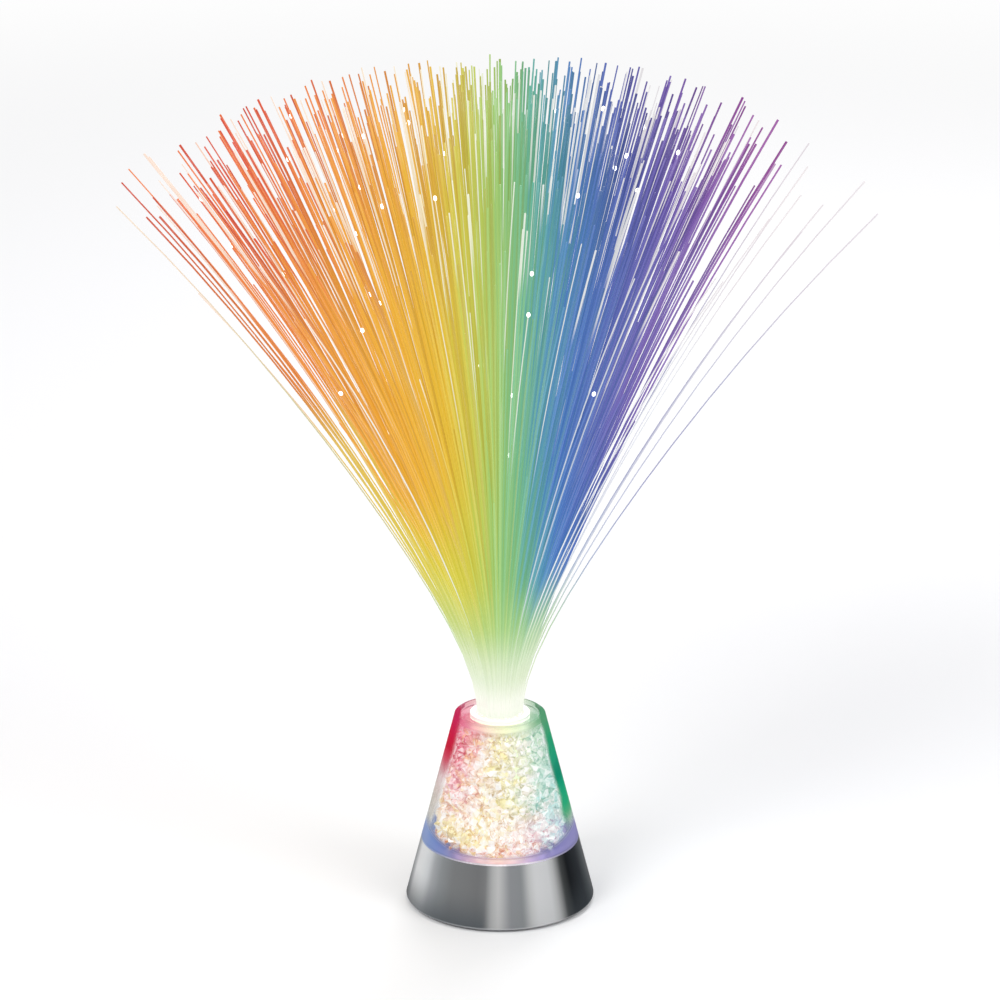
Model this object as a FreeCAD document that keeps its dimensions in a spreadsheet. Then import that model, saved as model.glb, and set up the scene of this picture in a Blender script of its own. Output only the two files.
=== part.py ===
import FreeCAD, Part

import math
import os
import random
import re

import Sketcher
from FreeCAD import Vector

# A battery lamp: a satin metal band on rubber feet, a clear cone full of crystals on it, and a
# spray of optical fibres that stands in a tube through the cone. The origin is on the axis at the
# level of the feet, +Z is up, and lengths are in millimetres. The battery door opens from below.

document = FreeCAD.newDocument("FibreOpticLamp")

# Driving dimensions --------------------------------------------------------------------------

SIZES = [
    ("foot_height", 1.2, "cover's underside above the table"),
    ("foot_radius", 3.5, ""),
    ("foot_seat_depth", 0.4, "recess that holds a foot"),
    ("foot_inset", 4.3, "feet centres from the cover's rim"),
    ("foot_angle", 48, "degrees from the X axis"),
    ("cone_half_angle", 14.35, "degrees, of the band and the clear cone alike"),
    ("shell_wall", 2.0, "metal band's wall"),
    ("shell_chamfer", 0.6, "bottom edge of the band"),
    ("shell_gap", 0.65, "battery tray's corner to the band"),
    ("cover_thickness", 2.0, ""),
    ("cover_gap", 0.3, "cover's rim to the band"),
    ("cell_radius", 5.25, "AAA cell"),
    ("cell_length", 44.5, "AAA cell with its nub"),
    ("cell_nub_radius", 1.9, ""),
    ("cell_nub_length", 1.0, ""),
    ("cell_pitch", 11.1, "between cells, side by side"),
    ("cell_gap", 0.3, "above and below the cells"),
    ("spring_length", 4.7, "battery spring, squeezed by its cell"),
    ("spring_radius", 2.6, "at the contact plate"),
    ("spring_wire", 0.6, ""),
    ("spring_turns", 3, ""),
    ("contact_thickness", 0.4, ""),
    ("contact_height", 8.0, ""),
    ("contact_width", 8.0, ""),
    ("tab_width", 3.0, "solder tab of a contact"),
    ("tray_wall", 1.2, "battery tray's walls and roof"),
    ("tray_slot_height", 4.2, "openings for the door's hooks"),
    ("door_gap", 0.25, "battery door to the cover all round"),
    ("door_land", 0.7, "edge of the opening outside the tray's inner face"),
    ("door_clearance", 0.3, "door's face to the tray's wall"),
    ("door_tongue_width", 8.0, "screwed tongue of the door"),
    ("door_tongue_length", 7.2, ""),
    ("door_tongue_thickness", 1.0, ""),
    ("door_screw_inset", 3.6, "screw from the tongue's end"),
    ("hook_width", 5.0, "door's two hooks"),
    ("hook_spacing", 28.0, "between the hooks' middles"),
    ("hook_thickness", 0.7, ""),
    ("hook_reach", 1.4, "beyond the door's edge"),
    ("hook_clearance", 0.2, ""),
    ("grip_ribs", 5, "finger ribs on the door"),
    ("grip_rib_pitch", 2.2, ""),
    ("screw_head_radius", 2.2, ""),
    ("screw_head_height", 1.0, ""),
    ("screw_radius", 1.0, ""),
    ("screw_length", 7.0, "below the head"),
    ("screw_play", 0.15, "hole radius beyond the screw's"),
    ("post_radius", 3.0, "screw posts of the band"),
    ("post_angle", 63, "degrees from the X axis"),
    ("post_embed", 1.4, "how far a post melts into the band's wall"),
    ("post_hole_depth", 8.0, ""),
    ("board_gap", 1.4, "tray's roof to the board, for the screw heads"),
    ("board_thickness", 1.6, ""),
    ("lead_way", 2.9, "way for the leads, board to the ledge"),
    ("standoff_height", 3.8, "board to the crystal floor"),
    ("standoff_radius", 2.6, ""),
    ("standoff_inset", 3.0, "standoffs' middles from the board's edge"),
    ("led_radius", 2.5, "centre LEDs"),
    ("led_flange_radius", 2.9, ""),
    ("led_height", 8.7, ""),
    ("led_circle", 4.2, ""),
    ("ring_led_radius", 1.5, "LEDs that light the crystals"),
    ("ring_led_height", 5.3, ""),
    ("ring_led_inset", 4.0, "their middles from the board's edge"),
    ("ring_led_count", 6, ""),
    ("led_window_gap", 0.2, "LED to its hole in the floor"),
    ("chip_length", 5.0, ""),
    ("chip_width", 4.0, ""),
    ("chip_height", 1.5, ""),
    ("capacitor_radius", 2.0, ""),
    ("capacitor_height", 3.2, ""),
    ("ledge_thickness", 2.0, "ring in the band that carries the floor"),
    ("ledge_width", 5.0, ""),
    ("floor_thickness", 2.0, "crystal floor"),
    ("floor_window_radius", 8.5, "opening for the centre LEDs"),
    ("spigot_depth", 2.2, "clear cone's foot inside the band"),
    ("spigot_wall", 2.2, ""),
    ("spigot_fit", 0.15, "spigot and floor to the band"),
    ("dome_height", 53.3, "clear cone above the band"),
    ("dome_wall", 2.2, ""),
    ("dome_lip_depth", 1.5, "mouth plate below the rim"),
    ("mouth_plate_thickness", 1.5, ""),
    ("rim_bevel", 0.7, ""),
    ("dome_boss_radius", 2.75, ""),
    ("dome_boss_height", 6.0, ""),
    ("dome_screw_inset", 3.1, "screws from the floor's rim"),
    ("tube_wall", 1.4, "core tube round the fibres"),
    ("tube_play", 0.2, "sleeve to the tube"),
    ("tube_collar_width", 2.0, "collar that stands on the floor"),
    ("tube_collar_height", 1.5, ""),
    ("tube_rise", 0.5, "tube above the mouth plate"),
    ("mouth_play", 0.3, "tube to the mouth plate"),
    ("sleeve_wall", 0.75, "ferrule round the potted fibres"),
    ("sleeve_flange_height", 1.0, ""),
    ("sleeve_fit", 0.05, "ferrule to the potting"),
    ("bundle_air", 0.6, "LED tips to the polished fibre ends"),
    ("crystal_cell", 7.6, "space that one crystal takes"),
    ("crystal_gap", 0.15, "least half gap between two crystals"),
    ("crystal_chip", 1.0, "how far a crystal's corner may fall short"),
    ("strand_width", 1.1, "across a strand"),
    ("strand_pitch", 1.5, "between strands in the bundle"),
    ("strand_ring_count", 6, "rings of strands round the middle one"),
    ("strand_length", 260.0, "free length of a strand"),
    ("strand_uneven", 26.0, "how much shorter a strand may be"),
    ("strand_flare", 18.0, "length over which the strands turn outward"),
    ("strand_flare_share", 0.62, "part of its whole lean that a strand gets there"),
    ("strand_lean_angle", 44.0, "degrees, tip of an outermost strand from upright"),
    ("strand_lean_power", 1.35, "how the lean grows from the bundle's middle outward"),
    ("strand_run_count", 6, "straight runs that make a strand's curve"),
    ("switch_length", 9.6, "slide switch's case"),
    ("switch_width", 5.4, ""),
    ("switch_height", 4.5, ""),
    ("switch_inset", 9.1, "switch's middle from the cover's rim"),
    ("switch_ear", 4.0, "fixing ear of the case"),
    ("switch_ear_height", 1.0, ""),
    ("switch_wall", 0.7, ""),
    ("switch_cavity", 2.2, ""),
    ("switch_pin_height", 2.0, ""),
    ("switch_pin_pitch", 2.5, ""),
    ("switch_travel", 4.0, "off to on"),
    ("knob_length", 3.0, ""),
    ("knob_width", 2.4, ""),
    ("knob_proud", 0.7, "knob beyond the cover's face"),
    ("knob_flange", 0.8, "flange beyond the stem"),
    ("knob_flange_height", 1.2, ""),
    ("knob_play", 0.3, ""),
    ("lead_width", 1.0, "across an insulated lead"),
]

sheet = document.addObject("Spreadsheet::Sheet", "Sizes")
for row, (name, value, note) in enumerate(SIZES, start=1):
    sheet.set(f"A{row}", name)
    sheet.set(f"B{row}", str(value))
    sheet.set(f"C{row}", note)
    sheet.setAlias(f"B{row}", name)
document.recompute()

# Levels and radii that follow from them: each is an expression of sizes and of other formulas.
FORMULAS = {
    "slope": "tan(cone_half_angle)",
    # the stack, from the table up
    "cover_top": "foot_height + cover_thickness",
    "door_thickness": "cover_thickness - door_clearance",
    "door_top": "foot_height + door_thickness",
    "cell_level": "door_top + cell_gap + cell_radius",
    "roof_bottom": "cell_level + cell_radius + cell_gap",
    "roof_top": "roof_bottom + tray_wall",
    "board_bottom": "roof_top + board_gap",
    "board_top": "board_bottom + board_thickness",
    "floor_bottom": "board_top + standoff_height",
    "floor_top": "floor_bottom + floor_thickness",
    "ledge_bottom": "floor_bottom - ledge_thickness",
    "joint_level": "floor_top + spigot_depth",
    "rim_level": "joint_level + dome_height",
    "plate_top": "rim_level - dome_lip_depth",
    "plate_bottom": "plate_top - mouth_plate_thickness",
    "tube_top": "plate_top + tube_rise",
    "strand_root": "tube_top + sleeve_flange_height",
    "led_top": "board_top + led_height",
    "bundle_bottom": "led_top + bundle_air",
    # battery compartment, half sizes from the axis
    "bay_half_length": "cell_length / 2 + spring_length / 2 + contact_thickness",
    "bay_half_width": "1.5 * cell_pitch",
    "tray_half_length": "bay_half_length + tray_wall",
    "tray_half_width": "bay_half_width + tray_wall",
    "opening_half_length": "bay_half_length + door_land",
    "opening_half_width": "bay_half_width + door_land",
    "door_half_length": "opening_half_length - door_gap",
    "door_half_width": "opening_half_width - door_gap",
    # the band
    "wall_across": "shell_wall / cos(cone_half_angle)",
    "tray_corner": "sqrt(tray_half_length ^ 2 + tray_half_width ^ 2)",
    "base_radius": "tray_corner + shell_gap + wall_across + (roof_top - foot_height) * slope",
    "cover_radius": "base_radius - (cover_top - foot_height) * slope - wall_across - cover_gap",
    "ledge_outer_radius": "base_radius - (ledge_bottom - foot_height) * slope - wall_across",
    "post_circle": "ledge_outer_radius - post_radius + post_embed",
    "joint_radius": "base_radius - (joint_level - foot_height) * slope",
    "spigot_radius": "joint_radius - wall_across - spigot_fit",
    "spigot_bore": "spigot_radius - spigot_wall",
    "ledge_inner_radius": "spigot_radius - ledge_width",
    "board_radius": "ledge_inner_radius - lead_way",
    "standoff_circle": "board_radius - standoff_inset",
    "ring_led_circle": "board_radius - ring_led_inset",
    "dome_screw_circle": "spigot_radius - dome_screw_inset",
    "foot_circle": "cover_radius - foot_inset",
    "switch_offset": "cover_radius - switch_inset",
    # the clear cone and the tube
    "dome_across": "dome_wall / cos(cone_half_angle)",
    "bundle_radius": "strand_ring_count * strand_pitch + strand_width / 2",
    "sleeve_bore": "bundle_radius + sleeve_fit",
    "sleeve_radius": "sleeve_bore + sleeve_wall",
    "tube_bore": "sleeve_radius + tube_play",
    "tube_radius": "tube_bore + tube_wall",
    "mouth_radius": "tube_radius + mouth_play",
    # door and switch
    "hinge_offset": "door_half_width - door_thickness / 2",
    "hinge_level": "foot_height + door_thickness / 2",
    "tongue_end": "door_half_width + door_tongue_length",
    "door_screw_offset": "tongue_end - door_screw_inset",
    "switch_top": "cover_top + switch_height",
    "switch_ear_end": "switch_length / 2 + switch_ear",
    "switch_screw_offset": "switch_length / 2 + switch_ear / 2",
    "screw_hole": "screw_radius + screw_play",
}

SIZE_NAMES = {name for name, value, note in SIZES}


def bound(text):
    """The expression that FreeCAD takes: sizes named in full, formulas written out."""

    def expand(match):
        word = match.group()
        if word in SIZE_NAMES:
            return f"Sizes.{word}"
        if word in FORMULAS:
            return f"({bound(FORMULAS[word])})"
        return word

    return re.sub(r"[a-z]\w*", expand, str(text))


def number(text):
    """The value of an expression of sizes and formulas, in millimetres or degrees."""
    return float(sheet.evalExpression(bound(text)))


def band_radius(level):
    """Expression of the outer radius of the band or of the clear cone at a level."""
    return f"(base_radius - ({level} - foot_height) * slope)"


# Sketches and features -----------------------------------------------------------------------

SUBPARTS = {}


def new_body(name):
    """A body for one sub-part, kept under the name of its file."""
    body = document.addObject("PartDesign::Body", name)
    body.Label = name
    SUBPARTS[name] = body
    return body


def new_sketch(body, plane="XY_Plane", offset="0"):
    """A sketch on one of the body's own origin planes, moved along the plane's normal."""
    item = body.newObject("Sketcher::SketchObject", f"{body.Name}_sketch")
    origin_plane = [part for part in body.Origin.OriginFeatures if part.Role == plane][0]
    item.AttachmentSupport = [(origin_plane, "")]
    item.MapMode = "FlatFace"
    item.setExpression("AttachmentOffset.Base.z", bound(offset))
    return item


def dimension(sketch, expression, kind, *where):
    """A driving constraint with its value bound to the sheet."""
    index = sketch.addConstraint(Sketcher.Constraint(kind, *where, number(expression)))
    sketch.setExpression(f"Constraints[{index}]", bound(expression))


def circle(sketch, radius, x="0", y="0"):
    """A circle, its middle given from the sketch's origin."""
    centre = Vector(number(x), number(y), 0)
    index = sketch.addGeometry(Part.Circle(centre, Vector(0, 0, 1), number(radius)))
    dimension(sketch, radius, "Radius", index)
    dimension(sketch, x, "DistanceX", -1, 1, index, 3)
    dimension(sketch, y, "DistanceY", -1, 1, index, 3)


def ring_of_circles(sketch, radius, circle_radius, count, first_angle="0"):
    """Circles spaced evenly round the axis."""
    for step in range(count):
        angle = f"({first_angle} + {360.0 * step / count})"
        circle(sketch, radius, f"{circle_radius} * cos({angle})", f"{circle_radius} * sin({angle})")


def four_corners(sketch, radius, circle_radius, angle):
    """Circles at the same angle above and below the X axis, on both sides."""
    for side in (1, -1):
        for end in (1, -1):
            circle(
                sketch,
                radius,
                f"{side} * {circle_radius} * cos({angle})",
                f"{end} * {circle_radius} * sin({angle})",
            )


def outline(sketch, corners):
    """A closed outline of straight lines through corners given as pairs of expressions."""
    places = [Vector(number(x), number(y), 0) for x, y in corners]
    first = sketch.GeometryCount
    count = len(corners)
    for step in range(count):
        sketch.addGeometry(Part.LineSegment(places[step], places[(step + 1) % count]))
    for step in range(count):
        following = first + (step + 1) % count
        sketch.addConstraint(Sketcher.Constraint("Coincident", first + step, 2, following, 1))
        x, y = corners[step]
        dimension(sketch, x, "DistanceX", -1, 1, first + step, 1)
        dimension(sketch, y, "DistanceY", -1, 1, first + step, 1)


def rectangle(sketch, left, right, bottom, top):
    outline(sketch, [(left, bottom), (right, bottom), (right, top), (left, top)])


def pad(body, sketch, length, downward=False, symmetric=False):
    feature = body.newObject("PartDesign::Pad", f"{body.Name}_pad")
    feature.Profile = sketch
    feature.setExpression("Length", bound(length))
    feature.Reversed = downward
    feature.Midplane = symmetric
    return feature


def pocket(body, sketch, depth, upward=True):
    """A cut that goes up from the sketch, or down from it."""
    feature = body.newObject("PartDesign::Pocket", f"{body.Name}_pocket")
    feature.Profile = sketch
    feature.setExpression("Length", bound(depth))
    feature.Reversed = upward
    return feature


def revolve(body, corners, cut=False):
    """The outline, in radius and height, turned about the Z axis."""
    sketch = new_sketch(body, "XZ_Plane")
    outline(sketch, corners)
    kind = "Groove" if cut else "Revolution"
    feature = body.newObject(f"PartDesign::{kind}", f"{body.Name}_turned")
    feature.Profile = sketch
    feature.ReferenceAxis = (sketch, ["V_Axis"])
    feature.Angle = 360
    return feature


def bevel_edges(body, base, size, chosen):
    """Chamfers on the edges of the feature that the test picks."""
    document.recompute()
    names = [f"Edge{k}" for k, edge in enumerate(base.Shape.Edges, start=1) if chosen(edge)]
    feature = body.newObject("PartDesign::Chamfer", f"{body.Name}_bevel")
    feature.Base = (base, names)
    feature.setExpression("Size", bound(size))
    return feature


def is_ring_at(edge, level):
    """Whether the edge is a full circle about the Z axis at the level."""
    curve = edge.Curve
    if not isinstance(curve, Part.Circle) or not edge.isClosed():
        return False
    centre = curve.Center
    return math.hypot(centre.x, centre.y) < 1e-6 and abs(centre.z - level) < 1e-6


def turned(name, corners):
    """A sub-part that is one turned outline."""
    body = new_body(name)
    revolve(body, corners)
    return body


def solid_feature(name, solids):
    """A sub-part whose shape is set directly, as a group of separate solids."""
    feature = document.addObject("Part::Feature", name)
    feature.Label = name
    feature.Shape = solids[0] if len(solids) == 1 else Part.makeCompound(solids)
    SUBPARTS[name] = feature
    return feature


def swept(route, sides, width, normal, turn_angle=0.0):
    """A bar of regular section along straight, mitred runs; its first face lies across the normal."""
    across = normal.cross(Vector(0, 0, 1))
    if across.Length < 1e-6:
        across = Vector(route[-1].x - route[0].x, route[-1].y - route[0].y, 0)
    if across.Length < 1e-6:
        across = Vector(1, 0, 0)
    across.normalize()
    upward = normal.cross(across).normalize()
    corners = []
    for side in range(sides):
        angle = turn_angle + 2 * math.pi * side / sides
        offset = across * math.cos(angle) + upward * math.sin(angle)
        corners.append(route[0] + offset * (width / 2))
    ways = [(end - start).normalize() for start, end in zip(route, route[1:])]
    sections = [corners]
    for way, next_way, joint in zip(ways, ways[1:] + ways[-1:], route[1:]):
        mitre = way + next_way
        corners = [corner + way * ((joint - corner).dot(mitre) / way.dot(mitre)) for corner in corners]
        sections.append(corners)
    outlines = [sections[0], sections[-1]]
    for first, second in zip(sections, sections[1:]):
        for side in range(sides):
            outlines.append([first[side - 1], first[side], second[side], second[side - 1]])
    faces = [Part.Face(Part.makePolygon(outline + outline[:1])) for outline in outlines]
    solid = Part.Solid(Part.Shell(faces))
    return solid.reversed() if solid.Volume < 0 else solid


# The metal band ------------------------------------------------------------------------------


def base_shell():
    """Satin cone with the ring that carries the floor and four posts for the cover's screws."""
    body = new_body("base_shell")
    inner = f"{band_radius('joint_level')} - wall_across"
    revolve(body, [
        (f"{band_radius('foot_height')} - shell_chamfer", "foot_height"),
        (f"{band_radius('foot_height + shell_chamfer')}", "foot_height + shell_chamfer"),
        ("joint_radius", "joint_level"),
        (inner, "joint_level"),
        (f"{band_radius('floor_bottom')} - wall_across", "floor_bottom"),
        ("ledge_inner_radius", "floor_bottom"),
        ("ledge_inner_radius", "ledge_bottom"),
        ("ledge_outer_radius", "ledge_bottom"),
        (f"{band_radius('foot_height')} - wall_across", "foot_height"),
    ])
    posts = new_sketch(body, offset="cover_top")
    four_corners(posts, "post_radius", "post_circle", "post_angle")
    pad(body, posts, "ledge_bottom - cover_top + ledge_thickness / 2")
    holes = new_sketch(body, offset="cover_top")
    four_corners(holes, "screw_radius", "post_circle", "post_angle")
    pocket(body, holes, "post_hole_depth")
    screws = new_sketch(body, offset="ledge_bottom")
    four_corners(screws, "screw_hole", "dome_screw_circle", "45")
    pocket(body, screws, "ledge_thickness")


# The floor under the crystals and the clear cone ---------------------------------------------


def crystal_floor():
    """Disc with windows for the LEDs and three standoffs that hold the board."""
    body = new_body("crystal_floor")
    disc = new_sketch(body, offset="floor_bottom")
    circle(disc, "spigot_radius")
    circle(disc, "floor_window_radius")
    ring_of_circles(disc, "ring_led_radius + led_window_gap", "ring_led_circle", ring_led_count)
    four_corners(disc, "screw_hole", "dome_screw_circle", "45")
    pad(body, disc, "floor_thickness")
    standoffs = new_sketch(body, offset="board_top")
    ring_of_circles(standoffs, "standoff_radius", "standoff_circle", 3, "30")
    ring_of_circles(standoffs, "screw_radius", "standoff_circle", 3, "30")
    pad(body, standoffs, "standoff_height")


def clear_dome():
    """Clear cone: spigot in the band, wall, eased rim and the plate under the mouth."""
    body = new_body("clear_dome")
    inner_joint = f"{band_radius('joint_level + spigot_wall')} - dome_across"
    shape = revolve(body, [
        ("spigot_bore", "floor_top"),
        ("spigot_radius", "floor_top"),
        ("spigot_radius", "joint_level"),
        ("joint_radius", "joint_level"),
        (band_radius("rim_level"), "rim_level"),
        (f"{band_radius('rim_level')} - dome_across", "rim_level"),
        (f"{band_radius('rim_level')} - dome_across", "plate_top"),
        ("mouth_radius", "plate_top"),
        ("mouth_radius", "plate_bottom"),
        (f"{band_radius('plate_bottom')} - dome_across", "plate_bottom"),
        (inner_joint, "joint_level + spigot_wall"),
        ("spigot_bore", "joint_level + spigot_wall / 2"),
    ])
    rim = number("rim_level")
    bevel_edges(body, shape, "rim_bevel", lambda edge: is_ring_at(edge, rim))
    bosses = new_sketch(body, offset="floor_top")
    four_corners(bosses, "dome_boss_radius", "dome_screw_circle", "45")
    pad(body, bosses, "dome_boss_height")
    holes = new_sketch(body, offset="floor_top")
    four_corners(holes, "screw_radius", "dome_screw_circle", "45")
    pocket(body, holes, "screw_length - ledge_thickness - floor_thickness + 2 * screw_play")


def core_tube():
    """Clear tube with a collar that stands on the floor: the fibres' socket."""
    turned("core_tube", [
        ("tube_bore", "floor_top"),
        ("tube_radius + tube_collar_width", "floor_top"),
        ("tube_radius + tube_collar_width", "floor_top + tube_collar_height"),
        ("tube_radius", "floor_top + tube_collar_height"),
        ("tube_radius", "tube_top"),
        ("tube_bore", "tube_top"),
    ])


def block(corners):
    """A closed solid from the eight corners of a warped block, each side cut in two triangles."""
    sides = [(0, 3, 2, 1), (4, 5, 6, 7), (0, 1, 5, 4), (1, 2, 6, 5), (2, 3, 7, 6), (3, 0, 4, 7)]
    faces = []
    for a, b, c, d in sides:
        for triangle in ((a, b, c), (a, c, d)):
            points = [corners[k] for k in triangle]
            faces.append(Part.Face(Part.makePolygon(points + points[:1])))
    return Part.Solid(Part.makeShell(faces))


def crystals():
    """Chipped blocks in rings round the tube, each inside its own share of the cone's space."""
    chance = random.Random(7)
    gap = number("crystal_gap")
    chip = number("crystal_chip")
    cell = number("crystal_cell")
    bottom = number("floor_top") + gap
    top = number("plate_bottom") - gap
    layers = max(1, round((top - bottom) / cell))
    layer_height = (top - bottom) / layers
    boss_clearance = number("dome_boss_radius + 2 * crystal_gap")
    boss_top = number("floor_top + dome_boss_height + crystal_gap")
    solids = []
    for layer in range(layers):
        low = bottom + layer * layer_height + gap
        high = bottom + (layer + 1) * layer_height - gap
        inner = number("tube_radius") + gap
        if low < number("floor_top + tube_collar_height + crystal_gap"):
            inner += number("tube_collar_width")
        outer = number(f"{band_radius(high)} - dome_across") - gap
        if low < number("joint_level + spigot_wall"):
            outer = min(outer, number("spigot_bore") - gap)
        rings = max(1, round((outer - inner) / cell))
        for ring in range(rings):
            near = inner + (outer - inner) * ring / rings + gap
            far = inner + (outer - inner) * (ring + 1) / rings - gap
            count = max(3, round(math.pi * (near + far) / cell))
            start = chance.uniform(0, 2 * math.pi)
            for step in range(count):
                first = start + 2 * math.pi * step / count + gap / near
                last = start + 2 * math.pi * (step + 1) / count - gap / near
                middle = Vector(math.cos((first + last) / 2), math.sin((first + last) / 2), 0) * far
                if low < boss_top and near_boss(middle, near, boss_clearance):
                    continue
                solids.append(chipped_block(chance, (near, far), (first, last), (low, high), chip))
    solid_feature("crystals", solids)


def near_boss(place, near, clearance):
    """Whether a crystal whose outer middle is here would reach one of the clear cone's bosses."""
    boss_circle = number("dome_screw_circle")
    reach = clearance + number("crystal_cell") * 0.62
    for quarter in range(4):
        angle = math.radians(45 + 90 * quarter)
        boss = Vector(math.cos(angle), math.sin(angle), 0) * boss_circle
        if (place - boss).Length < reach and boss_circle - clearance < place.Length:
            return near > 0
    return False


def chipped_block(chance, radii, angles, levels, chip):
    """One crystal: its corners drawn in by chance from those of its share of space."""
    corners = []
    for end in (0, 1):
        for radial, side in ((0, 0), (1, 0), (1, 1), (0, 1)):
            shrink = [chance.uniform(0, chip) for axis in range(3)]
            radius = radii[radial] + (shrink[0] if radial == 0 else -shrink[0])
            inset = shrink[1] / radii[0]
            angle = angles[side] + (inset if side == 0 else -inset)
            level = levels[end] + (shrink[2] if end == 0 else -shrink[2])
            corners.append(Vector(radius * math.cos(angle), radius * math.sin(angle), level))
    return block(corners)


# Light ---------------------------------------------------------------------------------------


def led_board():
    """Round circuit board under the floor, with holes for its screws."""
    body = new_body("led_board")
    disc = new_sketch(body, offset="board_bottom")
    circle(disc, "board_radius")
    ring_of_circles(disc, "screw_hole", "standoff_circle", 3, "30")
    pad(body, disc, "board_thickness")


def leds_centre():
    """Three LEDs with tapered tips under the polished ends of the fibres."""
    body = new_body("leds_centre")
    flanges = new_sketch(body, offset="board_top")
    ring_of_circles(flanges, "led_flange_radius", "led_circle", 3, "90")
    pad(body, flanges, "1")
    cases = new_sketch(body, offset="board_top")
    ring_of_circles(cases, "led_radius", "led_circle", 3, "90")
    shape = pad(body, cases, "led_height")
    top = number("led_top")
    bevel_edges(
        body, shape, "led_radius * 0.5",
        lambda edge: isinstance(edge.Curve, Part.Circle) and abs(edge.Curve.Center.z - top) < 1e-6,
    )


def leds_ring():
    """Small LEDs that stand in the floor's windows and light the crystals."""
    body = new_body("leds_ring")
    cases = new_sketch(body, offset="board_top")
    ring_of_circles(cases, "ring_led_radius", "ring_led_circle", ring_led_count)
    pad(body, cases, "ring_led_height")


def board_parts():
    """The chip that runs the colours and its capacitor, on top of the board."""
    chip = new_body("control_chip")
    case = new_sketch(chip, offset="board_top")
    rectangle(
        case, "9 - chip_length / 2", "9 + chip_length / 2",
        "-9 - chip_width / 2", "-9 + chip_width / 2",
    )
    pad(chip, case, "chip_height")
    capacitor = new_body("capacitor")
    can = new_sketch(capacitor, offset="board_top")
    circle(can, "capacitor_radius", "-9", "-9")
    pad(capacitor, can, "capacitor_height")


# Fasteners -----------------------------------------------------------------------------------


def screws(name, head_bottom, head_top, tip, place):
    """A group of pan-head screws: heads between two levels, shanks from the head to the tip."""
    body = new_body(name)
    heads = new_sketch(body, offset=head_bottom)
    place(heads, "screw_head_radius")
    pad(body, heads, f"{head_top} - {head_bottom}")
    shanks = new_sketch(body, offset=head_top)
    place(shanks, "screw_radius")
    pad(body, shanks, f"{tip} - {head_top}")


def all_screws():
    """Screws of the clear cone, of the board and of the bottom cover, all put in from below."""
    screws(
        "dome_screws", "(ledge_bottom - screw_head_height)", "(ledge_bottom)",
        "(ledge_bottom + screw_length)",
        lambda sketch, radius: four_corners(sketch, radius, "dome_screw_circle", "45"),
    )
    screws(
        "board_screws", "(board_bottom - screw_head_height)", "(board_bottom)",
        "(board_bottom + board_thickness + standoff_height)",
        lambda sketch, radius: ring_of_circles(sketch, radius, "standoff_circle", 3, "30"),
    )
    screws(
        "cover_screws", "(foot_height + 0.2)", "(foot_height + 0.2 + screw_head_height)",
        "(foot_height + 0.2 + screw_head_height + screw_length)",
        lambda sketch, radius: four_corners(sketch, radius, "post_circle", "post_angle"),
    )


# The bottom: cover, battery tray, door, feet --------------------------------------------------


def bottom_cover():
    """Disc with the battery bay's walls and roof, and seats for door, switch, screws and feet."""
    body = new_body("bottom_cover")
    disc = new_sketch(body, offset="foot_height")
    circle(disc, "cover_radius")
    rectangle(disc, "-opening_half_length", "opening_half_length",
              "-opening_half_width", "opening_half_width")
    four_corners(disc, "screw_hole", "post_circle", "post_angle")
    half_slot = "knob_length / 2 + switch_travel / 2 + knob_play"
    rectangle(disc, f"-({half_slot})", half_slot,
              "switch_offset - knob_width / 2 - knob_play", "switch_offset + knob_width / 2 + knob_play")
    for side in (1, -1):
        circle(disc, "screw_radius * 0.8", f"{side} * switch_screw_offset", "switch_offset")
    pad(body, disc, "cover_thickness")

    walls = new_sketch(body, offset="cover_top")
    rectangle(walls, "-tray_half_length", "tray_half_length", "-tray_half_width", "tray_half_width")
    rectangle(walls, "-bay_half_length", "bay_half_length", "-bay_half_width", "bay_half_width")
    pad(body, walls, "roof_bottom - cover_top")
    roof = new_sketch(body, offset="roof_bottom")
    rectangle(roof, "-tray_half_length", "tray_half_length", "-tray_half_width", "tray_half_width")
    pad(body, roof, "tray_wall")

    boss = new_sketch(body, offset="cover_top")
    circle(boss, "screw_head_radius + 0.6", "0", "-door_screw_offset")
    pad(body, boss, "3.4")

    counterbores = new_sketch(body, offset="foot_height")
    four_corners(counterbores, "screw_head_radius + screw_play", "post_circle", "post_angle")
    pocket(body, counterbores, "screw_head_height + 0.2")
    seats = new_sketch(body, offset="foot_height")
    four_corners(seats, "foot_radius + 0.1", "foot_circle", "foot_angle")
    pocket(body, seats, "foot_seat_depth")
    tongue = new_sketch(body, offset="foot_height")
    rectangle(tongue, "-door_tongue_width / 2 - door_gap", "door_tongue_width / 2 + door_gap",
              "-tongue_end - door_gap", "-opening_half_width + 1")
    pocket(body, tongue, "door_tongue_thickness + door_gap")
    hole = new_sketch(body, offset="foot_height")
    circle(hole, "screw_radius + 0.2", "0", "-door_screw_offset")
    pocket(body, hole, "cover_thickness + 2.8")
    slots = new_sketch(body, offset="cover_top")
    for side in (1, -1):
        rectangle(slots, f"{side} * hook_spacing / 2 - hook_width / 2 - hook_clearance",
                  f"{side} * hook_spacing / 2 + hook_width / 2 + hook_clearance",
                  "bay_half_width - 1", "tray_half_width + 1")
    pocket(body, slots, "tray_slot_height")
    ways = new_sketch(body, offset="cell_level + tab_width / 2 + door_gap")
    for side in (1, -1):
        rectangle(ways, f"{side} * tray_half_length - 1.6", f"{side} * tray_half_length + 1.6",
                  f"{side} * cell_pitch - tab_width / 2 - door_gap",
                  f"{side} * cell_pitch + tab_width / 2 + door_gap")
    pocket(body, ways, "tab_width + 2 * door_gap", upward=False)


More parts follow.
